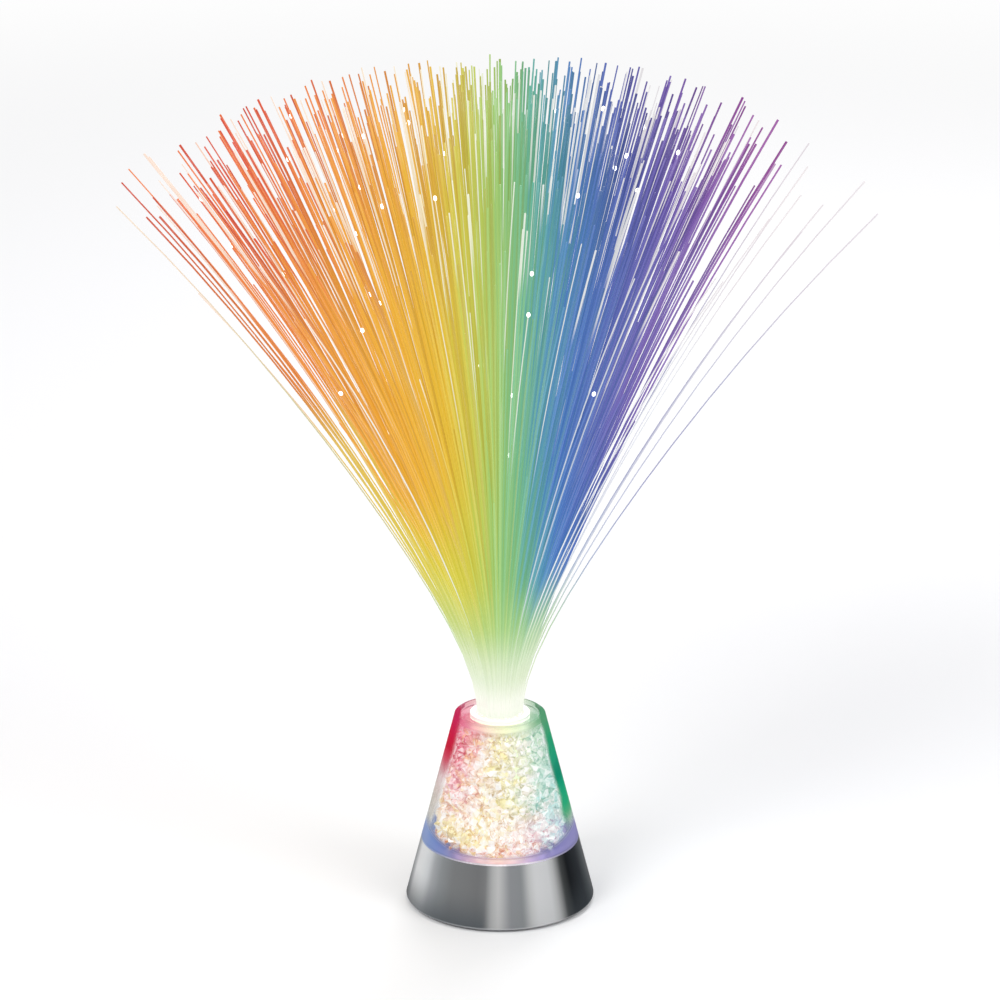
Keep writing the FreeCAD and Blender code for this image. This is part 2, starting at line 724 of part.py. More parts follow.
def battery_door():
    """Flush door: round edge at its hinge side, two hooks there, a screwed tongue opposite."""
    body = new_body("battery_door")
    plate = new_sketch(body, "XY_Plane", "foot_height")
    rectangle(plate, "-door_half_length", "door_half_length", "-door_half_width", "hinge_offset")
    pad(body, plate, "door_thickness")
    edge = new_sketch(body, "YZ_Plane")
    circle(edge, "door_thickness / 2", "hinge_offset", "hinge_level")
    pad(body, edge, "2 * door_half_length", symmetric=True)
    tongue = new_sketch(body, "XY_Plane", "foot_height")
    rectangle(tongue, "-door_tongue_width / 2", "door_tongue_width / 2", "-tongue_end",
              "-door_half_width + 1")
    pad(body, tongue, "door_tongue_thickness")
    for side in (1, -1):
        hook = new_sketch(body, "YZ_Plane", f"{side} * hook_spacing / 2")
        root = "hinge_offset - door_thickness / 2"
        tip = "door_half_width + hook_reach"
        under = "cover_top + hook_clearance"
        outline(hook, [
            (root, "hinge_level"),
            ("door_half_width - 0.1", "hinge_level"),
            ("door_half_width - 0.1", under),
            (tip, under),
            (tip, f"{under} + hook_thickness"),
            (root, f"{under} + hook_thickness"),
        ])
        pad(body, hook, "hook_width", symmetric=True)
    hole = new_sketch(body, "XY_Plane", "foot_height")
    circle(hole, "screw_hole", "0", "-door_screw_offset")
    pocket(body, hole, "door_tongue_thickness")
    grip = new_sketch(body, "XY_Plane", "foot_height")
    for rib in range(grip_ribs):
        middle = f"({rib - (grip_ribs - 1) / 2} * grip_rib_pitch)"
        rectangle(grip, "-5", "5", f"-7 + {middle} - 0.4", f"-7 + {middle} + 0.4")
    pocket(body, grip, "0.4")


def door_screw():
    """The door's captive screw, its head under the tongue and its tip in the cover's boss."""
    screws(
        "door_screw", "(foot_height - screw_head_height * 0.8)", "(foot_height)", "(foot_height + 4)",
        lambda sketch, radius: circle(sketch, radius, "0", "-door_screw_offset"),
    )


def feet():
    """Four rubber feet in their seats."""
    body = new_body("feet")
    discs = new_sketch(body)
    four_corners(discs, "foot_radius", "foot_circle", "foot_angle")
    pad(body, discs, "foot_height + foot_seat_depth")


# Batteries and wiring -------------------------------------------------------------------------


def cells():
    """Three AAA cells side by side, turned about so that they join in series."""
    for place in range(3):
        heading = 1 if place % 2 == 0 else -1
        body = new_body(f"battery_cell_{place + 1}")
        across = f"{1 - place} * cell_pitch"
        end = f"{heading} * (bay_half_length - contact_thickness)"
        can = new_sketch(body, "YZ_Plane", f"{end} - {heading} * cell_nub_length")
        circle(can, "cell_radius", across, "cell_level")
        pad(body, can, "cell_length - cell_nub_length", downward=heading > 0)
        nub = new_sketch(body, "YZ_Plane", f"{end} - {heading} * cell_nub_length")
        circle(nub, "cell_nub_radius", across, "cell_level")
        pad(body, nub, "cell_nub_length", downward=heading < 0)


def contact(name, side, left, right, tab):
    """A contact plate at one end of the bay, with a solder tab through the tray's wall."""
    body = new_body(name)
    plate = new_sketch(body, "YZ_Plane", f"{side} * bay_half_length")
    rectangle(plate, left, right, "cell_level - contact_height / 2", "cell_level + contact_height / 2")
    pad(body, plate, "contact_thickness", downward=side > 0)
    if tab:
        ear = new_sketch(body, "YZ_Plane", f"{side} * bay_half_length - {side} * contact_thickness / 2")
        rectangle(ear, f"{tab} - tab_width / 2", f"{tab} + tab_width / 2",
                  "cell_level - tab_width / 2", "cell_level + tab_width / 2")
        pad(body, ear, "contact_thickness / 2 + tray_wall + 0.6", downward=side < 0)


def contacts():
    """End plates, and the links that join two cells each."""
    half = "contact_width / 2"
    contact("contact_positive", 1, f"cell_pitch - {half}", f"cell_pitch + {half}", "cell_pitch")
    contact("contact_negative", -1, f"-cell_pitch - {half}", f"-cell_pitch + {half}", "-cell_pitch")
    contact("contact_link_left", -1, f"-{half}", f"cell_pitch + {half}", "")
    contact("contact_link_right", 1, f"-cell_pitch - {half}", f"{half}", "")


def battery_springs():
    """Cone-shaped springs that press each cell's flat end."""
    turns = round(number("spring_turns"))
    corners_a_turn = 8
    gap = number("spring_length")
    wire = number("spring_wire")
    wide = number("spring_radius") - wire / 2
    level = number("cell_level")
    solids = []
    for place in range(3):
        side = -1 if place % 2 == 0 else 1
        plate_face = side * number("bay_half_length - contact_thickness")
        route = []
        for corner in range(turns * corners_a_turn + 1):
            share = corner / (turns * corners_a_turn)
            angle = 2 * math.pi * corner / corners_a_turn
            radius = wide * (1 - 0.4 * share)
            forward = wire / 2 + (gap - wire) * share
            route.append(Vector(
                plate_face - side * forward,
                number(f"{1 - place} * cell_pitch") + radius * math.cos(angle),
                level + radius * math.sin(angle),
            ))
        solids.append(swept(route, 4, wire, (route[1] - route[0]).normalize()))
    solid_feature("battery_springs", solids)


def slide_switch():
    """Switch case with its ears and pins, the knob that slides in it, and its two screws."""
    case = new_body("switch_body")
    across = ("switch_offset - switch_width / 2", "switch_offset + switch_width / 2")
    box = new_sketch(case, offset="cover_top")
    rectangle(box, "-switch_length / 2", "switch_length / 2", *across)
    pad(case, box, "switch_height")
    ears = new_sketch(case, offset="cover_top")
    rectangle(ears, "-switch_ear_end", "switch_ear_end", *across)
    pad(case, ears, "switch_ear_height")
    pins = new_sketch(case, offset="switch_top")
    for pin in (-1, 0, 1):
        rectangle(pins, f"{pin} * switch_pin_pitch - 0.4", f"{pin} * switch_pin_pitch + 0.4",
                  "switch_offset - 0.4", "switch_offset + 0.4")
    pad(case, pins, "switch_pin_height")
    cavity = new_sketch(case, offset="cover_top")
    rectangle(cavity, "-switch_length / 2 + switch_wall", "switch_length / 2 - switch_wall",
              "switch_offset - switch_width / 2 + switch_wall",
              "switch_offset + switch_width / 2 - switch_wall")
    pocket(case, cavity, "switch_cavity")
    ear_holes = new_sketch(case, offset="cover_top")
    for side in (1, -1):
        circle(ear_holes, "screw_radius * 0.8 + 0.1", f"{side} * switch_screw_offset", "switch_offset")
    pocket(case, ear_holes, "switch_ear_height")

    knob = new_body("switch_knob")
    start = "-switch_travel / 2"
    stem = new_sketch(knob, offset="foot_height - knob_proud")
    rectangle(stem, f"{start} - knob_length / 2", f"{start} + knob_length / 2",
              "switch_offset - knob_width / 2", "switch_offset + knob_width / 2")
    pad(knob, stem, "knob_proud + cover_thickness + knob_play")
    flange = new_sketch(knob, offset="cover_top + hook_clearance")
    rectangle(flange, f"{start} - knob_length / 2 - knob_flange / 2",
              f"{start} + knob_length / 2 + knob_flange / 2",
              "switch_offset - knob_width / 2 - knob_flange / 2",
              "switch_offset + knob_width / 2 + knob_flange / 2")
    pad(knob, flange, "knob_flange_height")

    small_screws = new_body("switch_screws")
    shanks = new_sketch(small_screws, offset="cover_top + switch_ear_height")
    heads = new_sketch(small_screws, offset="cover_top + switch_ear_height")
    for side in (1, -1):
        circle(shanks, "screw_radius * 0.8", f"{side} * switch_screw_offset", "switch_offset")
        circle(heads, "screw_radius * 1.6", f"{side} * switch_screw_offset", "switch_offset")
    pad(small_screws, heads, "screw_head_height * 0.8")
    pad(small_screws, shanks, "switch_ear_height + cover_thickness * 0.8", downward=True)


def leads():
    """Insulated leads: battery to switch, switch to board, board back to the battery.

    Each starts on an upright or level face, and its end is cut flat on the face that it meets.
    """
    width = number("lead_width")
    tab_end = number("tray_half_length + 0.6")
    cell_level = number("cell_level")
    pitch = number("cell_pitch")
    pin_top = number("switch_top + switch_pin_height")
    pin_pitch = number("switch_pin_pitch")
    switch_offset = number("switch_offset")
    board_top = number("board_top")
    board_radius = number("board_radius")
    corner_x = number("tray_half_length")
    corner_y = number("tray_half_width")
    above_roof = number("roof_top") + 2.3 * width
    beside_board = board_radius + 1.2 * width
    over_board = board_top + 2.2 * width
    post_side = number("post_circle * sin(post_angle) - post_radius")
    beside_tray = (corner_y + post_side) / 2
    past_post = number("post_circle * cos(post_angle) + post_radius") + 2 * width
    along_x = Vector(1, 0, 0)
    upright = Vector(0, 0, 1)
    routes = {
        "lead_positive": (along_x, [
            Vector(tab_end, pitch, cell_level),
            Vector(tab_end + width, pitch, cell_level),
            Vector(tab_end + 1.5 * width, pitch + 2.4, cell_level),
            Vector(corner_x + 0.9 * width, corner_y + 0.9 * width, cell_level + 0.6),
            Vector(past_post, beside_tray, pin_top + 1.2 * width),
            Vector(pin_pitch + 3 * width, beside_tray, pin_top + 2.8 * width),
            Vector(pin_pitch, switch_offset, pin_top + 2.2),
            Vector(pin_pitch, switch_offset, pin_top),
        ]),
        "lead_switch": (upright, [
            Vector(0, switch_offset, pin_top),
            Vector(0, switch_offset, pin_top + width),
            Vector(0, switch_offset - 0.6, pin_top + 3.2),
            Vector(0, beside_board, board_top - 2.4),
            Vector(0, beside_board, over_board),
            Vector(0, board_radius - 3, over_board + 0.4),
            Vector(0, board_radius - 4, over_board - 0.6),
            Vector(0, board_radius - 4, board_top),
        ]),
        "lead_negative": (along_x, [
            Vector(-tab_end, -pitch, cell_level),
            Vector(-tab_end - width, -pitch, cell_level),
            Vector(-tab_end - 1.6 * width, -pitch, cell_level + 2.5),
            Vector(-tab_end - 0.4 * width, -pitch, above_roof),
            Vector(-beside_board * 0.92, -pitch * 0.85, above_roof + 1.2),
            Vector(-beside_board * 0.92, -pitch * 0.85, over_board),
            Vector(-board_radius * 0.8, -pitch * 0.7, over_board + 0.4),
            Vector(-board_radius * 0.76, -pitch * 0.66, over_board - 0.6),
            Vector(-board_radius * 0.76, -pitch * 0.66, board_top),
        ]),
    }
    for name, (normal, route) in routes.items():
        end = route[-1]
        route[-1] = end - upright * width
        below = Part.makeBox(4 * width, 4 * width, 2 * width)
        below.translate(end - Vector(2, 2, 2) * width)
        solid_feature(name, [swept(route, 6, width, normal).cut(below).Solids[0]])


# The fibres ----------------------------------------------------------------------------------


def fibre_sleeve():
    """Ferrule round the potted fibres: its flange hangs on top of the core tube."""
    turned("fibre_sleeve", [
        ("sleeve_bore", "bundle_bottom"),
        ("sleeve_radius", "bundle_bottom"),
        ("sleeve_radius", "tube_top"),
        ("tube_radius", "tube_top"),
        ("tube_radius", "strand_root"),
        ("sleeve_bore", "strand_root"),
    ])


def fibre_bundle():
    """Lower stretch of the fibres, potted in clear resin and polished flat at its end."""
    body = new_body("fibre_bundle")
    section = new_sketch(body, offset="bundle_bottom")
    circle(section, "bundle_radius")
    pad(body, section, "strand_root - bundle_bottom")


def strand_places():
    """Places in the bundle, packed in a honeycomb, from the middle outward."""
    rings = strand_rings
    pitch = number("strand_pitch")
    places = []
    for column in range(-rings, rings + 1):
        for row in range(max(-rings, -column - rings), min(rings, -column + rings) + 1):
            place = Vector(pitch * (column + row / 2), pitch * row * math.sqrt(3) / 2, 0)
            places.append(place)
    return sorted(places, key=lambda place: (round(place.Length, 4), math.atan2(place.y, place.x)))


def strand_route(place, length, lean):
    """Runs of a strand that leaves the bundle upright, flares out and then droops a little."""
    outward = Vector(place.x, place.y, 0)
    if outward.Length > 1e-6:
        outward.normalize()
    point = Vector(place.x, place.y, number("strand_root"))
    route = [point]
    flare = number("strand_flare")
    early_lean = number("strand_flare_share")
    shares = [(step / strand_runs) ** 1.6 for step in range(strand_runs + 1)]
    for start, end in zip(shares, shares[1:]):
        middle = (start + end) / 2
        flared = 1 - math.exp(-middle * length / flare)
        tilt = math.radians(lean) * flared * (early_lean + (1 - early_lean) * middle)
        run = outward * math.sin(tilt) + Vector(0, 0, math.cos(tilt))
        point = point + run * length * (end - start)
        route.append(point)
    return route


def fibre_strands():
    """Free strands above the potting, in groups from the middle of the spray outward."""
    chance = random.Random(11)
    groups = {"fibres_core": [], "fibres_inner": [], "fibres_middle": [], "fibres_outer": []}
    names = list(groups)
    longest = number("strand_length")
    uneven = number("strand_uneven")
    widest = number("strand_ring_count * strand_pitch")
    for place in strand_places():
        share = place.Length / widest
        group = names[min(3, int(share * 4))]
        length = longest - uneven * chance.uniform(0, 1) ** 2
        lean = number("strand_lean_angle") * share ** number("strand_lean_power")
        route = strand_route(place, length, lean)
        groups[group].append(swept(route, 4, number("strand_width"), Vector(0, 0, 1), math.pi / 4))
    for name, solids in groups.items():
        solid_feature(name, solids)


# Counts are used as whole numbers by the loops above.
ring_led_count = round(number("ring_led_count"))
grip_ribs = round(number("grip_ribs"))
strand_rings = round(number("strand_ring_count"))
strand_runs = round(number("strand_run_count"))

for build in (
    base_shell, crystal_floor, clear_dome, core_tube, crystals,
    led_board, leds_centre, leds_ring, board_parts, all_screws,
    bottom_cover, battery_door, door_screw, feet,
    cells, contacts, battery_springs, slide_switch, leads,
    fibre_sleeve, fibre_bundle, fibre_strands,
):
    build()
document.recompute()

# Checks and files ----------------------------------------------------------------------------

for item in document.Objects:
    if "Invalid" in item.State or "Error" in item.State:
        raise RuntimeError(f"{item.Label} failed: {item.State}")
for name, item in SUBPARTS.items():
    if item.Shape.isNull() or not item.Shape.isValid():
        raise RuntimeError(f"{name} has no valid shape")

os.makedirs("parts", exist_ok=True)
for name, item in SUBPARTS.items():
    item.Shape.exportStep(os.path.join("parts", f"{name}.step"))
    print(f"{name}: {len(item.Shape.Solids)} solids, {item.Shape.Volume:.1f} mm3")
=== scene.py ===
"""Finish of a battery lamp with a spray of optical fibres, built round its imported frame.

Lengths are in metres, the lamp stands on the floor at z 0 and its front looks along -Y.
"""

import math
import random

import bmesh
import bpy
import numpy as np
from bpy.props import FloatProperty, FloatVectorProperty, IntProperty, PointerProperty
from mathutils import Euler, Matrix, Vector


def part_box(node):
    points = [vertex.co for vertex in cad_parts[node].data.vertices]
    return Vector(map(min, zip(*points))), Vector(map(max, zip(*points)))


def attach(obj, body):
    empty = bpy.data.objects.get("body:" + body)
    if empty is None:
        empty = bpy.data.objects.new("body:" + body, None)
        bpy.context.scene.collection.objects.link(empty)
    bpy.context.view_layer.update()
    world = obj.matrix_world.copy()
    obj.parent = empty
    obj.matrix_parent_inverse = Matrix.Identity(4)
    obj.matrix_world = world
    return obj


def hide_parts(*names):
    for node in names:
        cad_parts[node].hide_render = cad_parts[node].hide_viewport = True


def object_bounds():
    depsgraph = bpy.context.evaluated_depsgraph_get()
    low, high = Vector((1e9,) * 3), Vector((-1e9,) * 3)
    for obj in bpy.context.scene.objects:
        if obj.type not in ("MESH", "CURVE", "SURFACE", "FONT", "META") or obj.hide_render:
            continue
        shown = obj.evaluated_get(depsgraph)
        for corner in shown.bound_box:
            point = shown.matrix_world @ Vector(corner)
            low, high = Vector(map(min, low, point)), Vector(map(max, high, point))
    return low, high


bl_info = {
    "name": "Fibre optic lamp",
    "version": (1, 0, 0),
    "blender": (4, 5, 0),
    "location": "3D View > Sidebar > Fibre Lamp",
    "description": "Dresses a battery lamp's frame: metal band, clear cone, crystals and fibres",
    "category": "Object",
}

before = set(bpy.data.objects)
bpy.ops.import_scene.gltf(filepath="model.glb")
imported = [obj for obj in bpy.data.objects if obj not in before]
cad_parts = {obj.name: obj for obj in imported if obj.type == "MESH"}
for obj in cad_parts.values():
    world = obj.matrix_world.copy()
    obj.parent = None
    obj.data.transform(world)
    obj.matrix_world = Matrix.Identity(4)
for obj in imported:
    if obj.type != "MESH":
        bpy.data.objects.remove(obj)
FRAME_LOW, FRAME_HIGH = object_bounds()
MM = 0.001


def shade(colour):
    """Linear red, green and blue of a colour, which may be a code of six hexadecimal digits."""
    if not isinstance(colour, str):
        return tuple(colour)
    parts = [int(colour[k:k + 2], 16) / 255 for k in (0, 2, 4)]
    return tuple(p / 12.92 if p <= 0.04045 else ((p + 0.055) / 1.055) ** 2.4 for p in parts)


# Shader maths --------------------------------------------------------------------------------


class Wire:
    """A number on its way through a finish; Python's operators add the Math nodes for it."""

    def __init__(self, finish, socket):
        self.finish = finish
        self.socket = socket

    def __add__(self, other):
        return self.finish.maths("ADD", self, other)

    def __radd__(self, other):
        return self.finish.maths("ADD", other, self)

    def __sub__(self, other):
        return self.finish.maths("SUBTRACT", self, other)

    def __rsub__(self, other):
        return self.finish.maths("SUBTRACT", other, self)

    def __mul__(self, other):
        return self.finish.maths("MULTIPLY", self, other)

    def __rmul__(self, other):
        return self.finish.maths("MULTIPLY", other, self)

    def __truediv__(self, other):
        return self.finish.maths("DIVIDE", self, other)

    def __rtruediv__(self, other):
        return self.finish.maths("DIVIDE", other, self)

    def __pow__(self, other):
        return self.finish.maths("POWER", self, other)

    def __rpow__(self, other):
        return self.finish.maths("POWER", other, self)


class Finish:
    """A material, or the world, under construction: its nodes and what they work out."""

    def __init__(self, name, owner=None):
        self.material = owner or bpy.data.materials.new(name)
        self.material.use_nodes = True
        self.tree = self.material.node_tree
        self.tree.nodes.clear()

    def feed(self, socket, value):
        """Links a wire or a socket, or sets a plain number, vector or colour."""
        if isinstance(value, Wire):
            value = value.socket
        if isinstance(value, bpy.types.NodeSocket):
            self.tree.links.new(value, socket)
        elif socket.type == "RGBA":
            socket.default_value = (*shade(value), 1)
        else:
            socket.default_value = value

    def node(self, kind, settings=None, sockets=None):
        """A node of any kind: first its settings, then the values or links of its sockets."""
        item = self.tree.nodes.new(f"ShaderNode{kind}")
        for name, value in (settings or {}).items():
            if name == "stops":
                self.set_stops(item.color_ramp, value)
            else:
                setattr(item, name, value)
        for key, value in (sockets or {}).items():
            self.feed(item.inputs[key], value)
        return item

    @staticmethod
    def set_stops(ramp, stops):
        """Stops of a colour ramp, given in order as pairs of place and colour."""
        ramp.elements[0].position, ramp.elements[1].position = stops[0][0], stops[-1][0]
        ramp.elements[0].color = (*shade(stops[0][1]), 1)
        ramp.elements[1].color = (*shade(stops[-1][1]), 1)
        for place, colour in stops[1:-1]:
            ramp.elements.new(place).color = (*shade(colour), 1)

    def maths(self, operation, *values):
        """What a Math node makes of some numbers."""
        item = self.node("Math", {"operation": operation}, dict(enumerate(values)))
        return Wire(self, item.outputs[0])

    def vector(self):
        """Coordinates in the lamp's own frame."""
        return self.node("TexCoord").outputs["Object"]

    def axes(self, letters):
        """The same coordinates one by one, in the order of the letters, such as "xz"."""
        split = self.node("SeparateXYZ", None, {0: self.vector()})
        return [Wire(self, split.outputs[letter.upper()]) for letter in letters]

    def stored(self, name):
        """The three numbers that a mesh keeps under a name at each of its points or faces."""
        vector = self.node("Attribute", {"attribute_name": name}).outputs["Color"]
        split = self.node("SeparateColor", None, {0: vector})
        return [Wire(self, split.outputs[k]) for k in range(3)]

    def rise(self, value, low, high):
        """0 below low, 1 above high and a smooth step between; it falls where low is larger."""
        if low > high:
            return 1 - self.rise(value, high, low)
        sockets = {"Value": value, "From Min": low, "From Max": high}
        item = self.node("MapRange", {"interpolation_type": "SMOOTHSTEP"}, sockets)
        return Wire(self, item.outputs["Result"])

    def stretched(self, vector, scale):
        """The vector, each of its numbers times that of another."""
        return self.node("VectorMath", {"operation": "MULTIPLY"}, {0: vector, 1: scale}).outputs[0]

    def noise(self, vector, scale, detail=3.0):
        """A cloudy number near 0.5."""
        sockets = {"Vector": vector, "Scale": scale, "Detail": detail}
        return Wire(self, self.node("TexNoise", None, sockets).outputs[0])

    def cells(self, vector, scale, feature="F1"):
        """Distance in a Voronoi pattern, to the cell's point or to its edge."""
        item = self.node("TexVoronoi", {"feature": feature}, {"Vector": vector, "Scale": scale})
        return Wire(self, item.outputs["Distance"])

    def patches(self, vector, scale):
        """A random number for each cell of a Voronoi pattern."""
        item = self.node("TexVoronoi", None, {"Vector": vector, "Scale": scale})
        split = self.node("SeparateColor", None, {0: item.outputs["Color"]})
        return Wire(self, split.outputs[0])

    def warped(self, vector, scale, amount):
        """The vector, pushed about by noise."""
        cloud = self.node("TexNoise", None, {"Vector": vector, "Scale": scale}).outputs["Color"]
        sway = self.node("VectorMath", {"operation": "SCALE"}, {0: cloud, "Scale": amount})
        moved = self.node("VectorMath", {"operation": "ADD"}, {0: vector, 1: sway.outputs[0]})
        return moved.outputs[0]

    def ramp(self, value, stops):
        """Colour that a number picks from stops, which are pairs of place and colour."""
        return self.node("ValToRGB", {"stops": stops}, {0: value}).outputs["Color"]

    def mix(self, share, first, second):
        """Colour between two colours, by a share from 0 to 1."""
        return self.node("Mix", {"data_type": "RGBA"}, {0: share, 6: first, 7: second}).outputs[2]

    def bump(self, height, strength, distance):
        """Relief from a number between 0 and 1, as deep as the distance in metres."""
        sockets = {"Strength": strength, "Distance": distance, "Height": height}
        return self.node("Bump", None, sockets).outputs["Normal"]

    def facing(self, blend):
        """Near 1 where the surface is seen edge on, near 0 where it is seen straight on."""
        return Wire(self, self.node("LayerWeight", None, {"Blend": blend}).outputs["Facing"])

    def shader(self, **sockets):
        """A surface shader, its sockets named in lower case."""
        named = {name.replace("_", " ").title(): value for name, value in sockets.items()}
        named = {name.replace("Ior", "IOR"): value for name, value in named.items()}
        return self.node("BsdfPrincipled", None, named).outputs[0]

    def surface(self, **sockets):
        """The finished material, of one surface shader."""
        return self.output(self.shader(**sockets))

    def output(self, socket):
        """The finished material, with this shader on its surface."""
        self.node("OutputMaterial", None, {"Surface": socket})
        return self.material


def dress(material, *nodes):
    """Gives carried-over nodes of the frame a finish."""
    for name in nodes:
        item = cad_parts[name]
        if not item.material_slots:
            item.data.materials.append(material)
        for slot in item.material_slots:
            slot.material = material


def new_piece(name, points, faces, material, body, smooth=False):
    """A mesh piece in the lamp's frame that rides on one of its bodies."""
    mesh = bpy.data.meshes.new(name)
    mesh.from_pydata([tuple(p) for p in points], [], [tuple(f) for f in faces])
    mesh.materials.append(material)
    for polygon in mesh.polygons:
        polygon.use_smooth = smooth
    mesh.update()
    piece = bpy.data.objects.new(name, mesh)
    bpy.context.scene.collection.objects.link(piece)
    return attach(piece, body)


def store(piece, name, values, domain="POINT"):
    """Keeps three numbers at each of the piece's points or faces."""
    kept = piece.data.attributes.new(name, "FLOAT_COLOR", domain)
    rows = np.ones((len(values), 4), np.float32)
    rows[:, :3] = values
    kept.data.foreach_set("color", rows.ravel())


# Places taken from the frame -----------------------------------------------------------------


def levels_of(node):
    """Levels of a node's lowest and highest points."""
    low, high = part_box(node)
    return low.z, high.z


def radius_of(node):
    """Radius of a node that is turned about the lamp's axis, where it is widest."""
    low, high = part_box(node)
    return (high.x - low.x) / 2


BAND_RADIUS = radius_of("base_shell")
BAND_BOTTOM, BAND_TOP = levels_of("base_shell")
COVER_FACE = levels_of("bottom_cover")[0]
CRYSTAL_FLOOR = levels_of("crystal_floor")[1]
RIM = levels_of("clear_dome")[1]
MOUTH = levels_of("fibre_bundle")[1]
BUNDLE_RADIUS = radius_of("fibre_bundle") - 0.55 * MM  # to the middles of its outer fibres
SLOPE = math.tan(math.radians(14.35))  # of the band and of the clear cone alike
TUBE_RADIUS = 12.1 * MM  # outside of the core tube, with a little room
GOLDEN_ANGLE = math.pi * (3 - math.sqrt(5))


def cone_radius(level):
    """Outer radius of the band and of the clear cone at a level, a number or a wire."""
    return BAND_RADIUS - (level - BAND_BOTTOM) * SLOPE


# Sizes and colours that a user would change --------------------------------------------------


def tint(name, description, code):
    """A colour property."""
    return FloatVectorProperty(
        name=name, description=description, default=shade(code), subtype="COLOR", min=0, max=1
    )


def length(name, description, millimetres):
    """A length property, whose default is given in millimetres."""
    return FloatProperty(
        name=name, description=description, default=millimetres * MM, min=0, unit="LENGTH",
        precision=5,
    )


class BandSettings(bpy.types.PropertyGroup):
    """The metal band, whose stripes of light and dark are painted reflections."""

    light: tint("Light metal", "Colour of the band's bright stripes", "b8b9ba")
    dark: tint("Dark metal", "Colour of the band's dark stripes", "1b1d1f")
    middle: tint("Mid metal", "Colour of the band's wide grey stripes", "606365")


class ConeSettings(bpy.types.PropertyGroup):
    """The clear cone and the colours of the light painted in its edges."""

    left_edge_tint: tint("Left edge", "Light in the wall's left edge", "c8123c")
    right_edge_tint: tint("Right edge", "Light in the wall's right edge", "0f9873")
    foot_tint: tint("Foot", "Light in the foot of the cone", "8480ba")


class CrystalSettings(bpy.types.PropertyGroup):
    """The crystals in the cone."""

    size: length("Size", "Size of a crystal", 6.0)
    shells: IntProperty(name="Shells", description="Layers of crystals behind the wall",
                        default=3, min=1, max=5)
    glow: FloatProperty(name="Glow", description="Light that the crystals give off",
                        default=0.56, min=0, max=4)


class FibreSettings(bpy.types.PropertyGroup):
    """The spray of fibres."""

    count: IntProperty(name="Count", description="Fine fibres in the spray", default=1000, min=50)
    width: length("Width", "Across a fibre", 0.75)
    longest: length("Longest", "Free length of the longest fibre", 260)
    uneven: length("Uneven", "How much shorter a fibre may be", 26)
    lean: FloatProperty(name="Lean", description="Tip of an outermost fibre from upright",
                        default=math.radians(44), subtype="ANGLE")
    glow: FloatProperty(name="Glow", description="Light that the fibres give off",
                        default=0.74, min=0, max=4)


class StageSettings(bpy.types.PropertyGroup):
    """Floor, light and camera."""

    floor: tint("Floor", "Colour of the floor", "f4f4f5")
    elevation: FloatProperty(name="Elevation", description="Camera above the horizon",
                             default=math.radians(18), subtype="ANGLE")
    distance: length("Distance", "Camera to the middle of the lamp", 1500)


# The metal band and the clear cone -----------------------------------------------------------


def around(finish, x, y):
    """Turn about the axis, 0.5 at the front, growing towards the lamp's right (+X)."""
    return finish.maths("ARCTAN2", x, y * -1) / (2 * math.pi) + 0.5


def by_level(stops):
    """Stops of a ramp over z, from stops whose places are levels in millimetres."""
    return [(level * MM, colour) for level, colour in stops]


def satin_band(settings):
    """Spun metal: painted reflections in stripes, painted shade low down, fine turning marks."""
    finish = Finish("satin_band")
    x, y, z = finish.axes("xyz")
    vector = finish.vector()
    light, middle, dark = settings.light, settings.middle, settings.dark
    turn = around(finish, x, y)
    # painted reflections: soft upright stripes of light and dark, fixed round the band
    stripes = finish.ramp(turn, [
        (0.0, middle), (0.06, light), (0.11, middle), (0.17, dark), (0.21, middle),
        (0.26, "b4b8ba"), (0.288, "f4f6f7"), (0.318, "dcdfe0"), (0.337, "c8cbcd"),
        (0.353, "a0a3a6"), (0.375, "868a8c"), (0.405, "747677"), (0.458, "6c6d6e"),
        (0.472, "737475"), (0.486, "a6a7a7"), (0.497, "b6b6b6"), (0.506, "a4a5a6"),
        (0.518, "85878a"), (0.541, "7f8284"), (0.556, "acadad"), (0.568, light),
        (0.598, light), (0.611, "a4a5a5"), (0.63, "404242"), (0.65, dark), (0.69, "34373a"),
        (0.72, "565b5d"), (0.8, middle), (0.87, light), (0.93, "8e9499"), (1.0, middle),
    ])
    marks = finish.noise(finish.stretched(vector, (20, 20, 9000)), 1.0, 2.0)
    cloud = finish.noise(vector, 60.0, 2.0)
    # painted shade: darker towards the bottom, most on the lamp's left
    low = finish.rise(z, BAND_BOTTOM + 16 * MM, BAND_BOTTOM - 3 * MM)
    painted_shade_share = 0.10 + finish.rise(turn, 0.484, 0.466) * 0.75 + finish.rise(turn, 0.615, 0.65) * 0.30
    shaded = finish.mix(low * painted_shade_share, stripes, "4a5055")
    edge = finish.rise(z, BAND_BOTTOM + 1.0 * MM, BAND_BOTTOM + 0.2 * MM)
    colour = finish.mix(edge * 0.6, shaded, "e6e8ea")
    return finish.surface(
        base_color=colour, metallic=1.0, roughness=0.26 + marks * 0.1 + cloud * 0.06,
        specular_tint="b4b4b5", normal=finish.bump(marks, 0.12, 0.04 * MM),
    )


